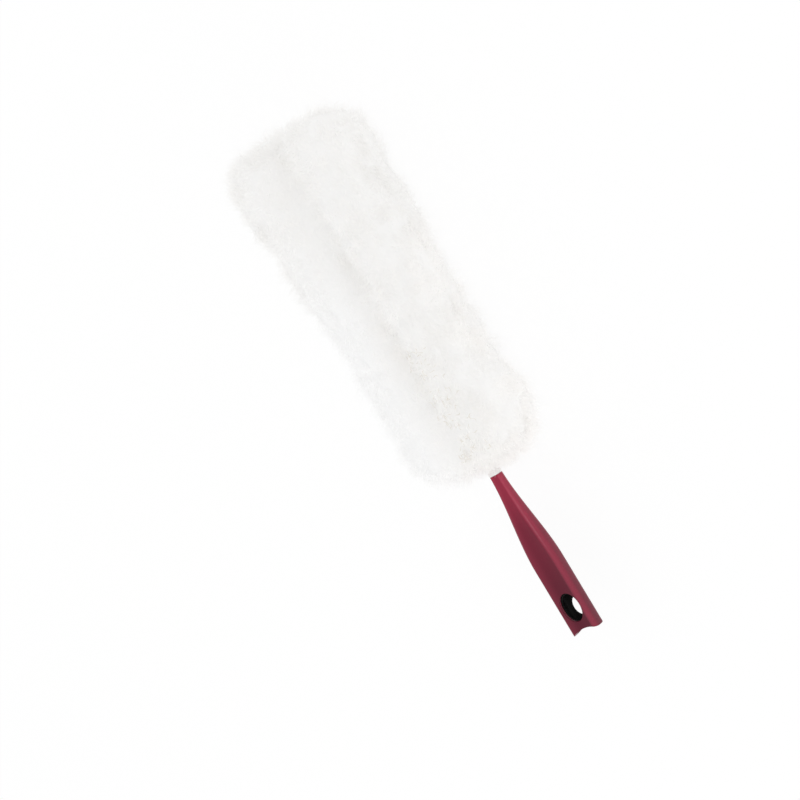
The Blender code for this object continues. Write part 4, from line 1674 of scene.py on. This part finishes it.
    def shell(self) -> bpy.types.Object:
        """The shell: its outside, less the hollow, the oval hole and the saddle at the tail."""
        back = np.linspace(0, self.length, self.stations)[:, None]
        piece = closed_skin("handle_grip", self.outside(back))
        places = np.concatenate([[[-self.overrun]], back, [[self.length + self.overrun]]])
        inner = np.concatenate([back[:1], back, back[-1:]])
        hollow = closed_skin("hollow cutter", self.hollow(inner, 0, places))

        half_width = self.tail[0] / 2
        radius = (half_width**2 + self.saddle_depth**2) / (2 * self.saddle_depth)
        around = np.linspace(0, 2 * math.pi, self.saddle_sides, endpoint=False)[None, :]
        x = -self.length + self.saddle_depth - radius + radius * np.cos(around)
        heights = np.array([[-self.tail[1]], [self.tail[1]]])
        saddle = closed_skin("saddle cutter", self.axis.place(x, radius * np.sin(around), heights))
        cut(piece, hollow, self.hole_cutter(0, self.hole_lip), saddle)
        shade(piece, SHARP_MOULDING)
        return piece

    def liner(self) -> bpy.types.Object:
        """The liner: a cup in the hollow, less its bore and the windows at the oval hole."""
        low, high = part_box("pole_socket_liner")
        head, tail = self.axis.x - high.x, self.axis.x - low.x
        back = np.linspace(head, tail, self.stations // 2)[:, None]
        piece = closed_skin("pole_socket_cup", self.hollow(back, self.liner_gap))
        bore = np.linspace(head + self.liner_stop, tail, self.stations // 2)[:, None]
        places = np.concatenate([bore, [[tail + self.overrun]]])
        bore = np.concatenate([bore, bore[-1:]])
        inner = closed_skin("bore cutter", self.hollow(bore, self.liner_gap + self.liner_wall, places))
        cut(piece, inner, self.hole_cutter(self.window_margin, 0, self.window_narrower, self.window_shift))
        shade(piece, SHARP_MOULDING)
        return piece


def build_fork_and_collar() -> None:
    """The white fork and the collar at the handle's neck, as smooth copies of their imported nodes."""
    fork = merged_copy("fork", "fork_prongs", SHARP_COPY)
    finish_piece(fork, WHITE, Body.HANDLE, Slot.WHITE, "fork")
    collar = merged_copy("neck_collar", "neck_ring", SHARP_COPY)
    finish_piece(collar, WHITE, Body.HANDLE, Slot.WHITE, "neck_collar")


def standing(right: np.ndarray, up: np.ndarray, back: np.ndarray, place: np.ndarray) -> Matrix:
    """The placing of a lamp or camera that looks against its back direction."""
    columns = np.eye(4)
    columns[:3] = np.stack([right, up, back, place], axis=1)
    return Matrix(columns.tolist())


@dataclass(frozen=True)
class Studio:
    """A pale floor, a white surround, soft lamps and the camera.

    Attributes:
        mouth: The middle of the neck's mouth, which the camera is set by.
        mouth_pixel: Where the mouth lies in a frame of 800 by 800 pixels.
        azimuth: The camera's direction round the duster, in degrees.
        elevation: Its height over the floor, in degrees.
        heading: The head's direction in the frame, in degrees from its right side towards its top.
        span: The width that the frame shows at the mouth.
        frame_pixels: The frame's width that pixels are counted in.
        floor_glow: How far the floor is plain white to the eye.
        world_level: The surround's strength as light, where it is 1 to the eye.
        low_gain: How much stronger it is from below.
        high_loss: How much that drops towards the top.
        lamps: The lamps by name, place, side and power.
    """

    mouth: tuple[float, float, float]
    mouth_pixel: tuple[float, float] = (496.0, 474.6)
    azimuth: float = 4.0
    elevation: float = 54.0
    heading: float = 121.0
    span: float = 0.799
    lens: float = 135.0
    sensor: float = 36.0
    frame_pixels: float = 800.0
    floor_size: float = 12.0
    floor_glow: float = 0.90
    world_level: float = 0.967
    low_gain: float = 0.14
    high_loss: float = 0.30
    lamps: tuple = (
        ("key light", (1.5, 1.3, 1.7), 1.6, 3.0),
        ("fill light", (0.05, -1.15, 2.1), 0.35, 4.0),
        ("mouth light", (-2.0, -0.2, 0.6), 1.0, 3.4),
    )

    def build(self) -> None:
        """Makes everything round the duster."""
        self.camera()
        self.floor()
        self.surround()
        for lamp in self.lamps:
            self.lamp(*lamp)

    def camera(self) -> None:
        """The camera: turned about its own axis so that the head points up and left."""
        azimuth, elevation = math.radians(self.azimuth), math.radians(self.elevation)
        flat = math.cos(elevation)
        back = np.array([math.sin(azimuth) * flat, -math.cos(azimuth) * flat, math.sin(elevation)])
        level = np.array([math.cos(azimuth), math.sin(azimuth), 0.0])
        rise = np.cross(back, level)
        roll = math.atan2(rise[0], level[0]) - math.radians(self.heading)
        right = level * math.cos(roll) + rise * math.sin(roll)
        up = rise * math.cos(roll) - level * math.sin(roll)
        pixel = self.span / self.frame_pixels
        aside = (self.mouth_pixel[0] - self.frame_pixels / 2) * pixel
        below = (self.mouth_pixel[1] - self.frame_pixels / 2) * pixel
        target = np.array(self.mouth) - right * aside + up * below
        place = target + back * self.span * self.lens / self.sensor
        data = bpy.data.cameras.new("camera")
        data.lens = self.lens
        data.sensor_width = self.sensor
        made = link("camera", data)
        made.matrix_world = standing(right, up, back, place)
        bpy.context.scene.camera = made

    def floor(self) -> None:
        """The floor: it glows white towards the camera and takes the rest of its light, with the shadow."""
        half = self.floor_size / 2
        line = np.array([-half, half])
        y, x = np.meshgrid(line, line, indexing="ij")
        points = np.stack([x, y, np.zeros_like(x)], axis=-1).reshape(-1, 3)
        made = MeshArrays(points, np.array([0, 1, 3, 2]), np.array([4])).to_object("floor")
        paper = bpy.data.materials.new("white paper")
        graph = Graph(paper)
        seen = graph.seen()
        lit = graph.node("ShaderNodeBsdfDiffuse", {}, {"Color": colour(254, 254, 254)})
        glow = graph.node("ShaderNodeEmission", {}, {"Color": (1.0, 1.0, 1.0, 1.0), "Strength": 1.0})
        mixed = graph.node("ShaderNodeMixShader", {}, {0: seen * self.floor_glow, 1: lit, 2: glow})
        graph.node("ShaderNodeOutputMaterial", {}, {"Surface": mixed})
        made.data.materials.append(paper)

    def surround(self) -> None:
        """The world: plain white to the eye and in reflections. As light it is stronger from below."""
        world = bpy.data.worlds.new("surround")
        bpy.context.scene.world = world
        graph = Graph(world)
        seen = graph.seen()
        strength = self.world_level + seen * (1 - self.world_level)
        way = graph.node("ShaderNodeTexCoord", output="Generated")
        up = graph.node("ShaderNodeSeparateXYZ", {}, {0: way}, 2)
        strength = strength + (1 - seen) * (self.low_gain - up.between(0.0, 1.0) * self.high_loss)
        light = graph.node("ShaderNodeBackground", {}, {"Color": (1.0, 1.0, 1.0, 1.0), "Strength": strength})
        graph.node("ShaderNodeOutputWorld", {}, {"Surface": light})

    def lamp(self, name: str, place: tuple[float, float, float], size: float, power: float) -> None:
        """A square soft lamp that faces the duster.

        Args:
            name: The lamp's name.
            place: Where it stands.
            size: The length of its side.
            power: Its power, in watts.
        """
        data = bpy.data.lights.new(name, "AREA")
        data.shape = "SQUARE"
        data.size = size
        data.energy = power
        made = link(name, data)
        back = unit(np.array(place))
        right = unit(np.cross(np.array([0.0, 0.0, 1.0]), back))
        made.matrix_world = standing(right, np.cross(back, right), back, np.array(place))


def main() -> None:
    """Builds the duster in order, then the studio round it."""
    logging.basicConfig(level=logging.INFO, format="%(message)s")
    bpy.context.scene.view_settings.view_transform = "Standard"
    bpy.context.scene.cycles.max_bounces = BOUNCES
    bpy.context.scene.cycles.diffuse_bounces = DIFFUSE_BOUNCES
    axis = Axis.from_frame()
    Studio(mouth=(axis.x, axis.y, axis.z)).build()
    Handle.from_frame(axis).build()
    build_fork_and_collar()
    Pockets.from_frame(axis).build()
    Fluff.from_frame(axis).build()


if __name__ == "__main__":
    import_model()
    main()
    bpy.context.view_layer.update()
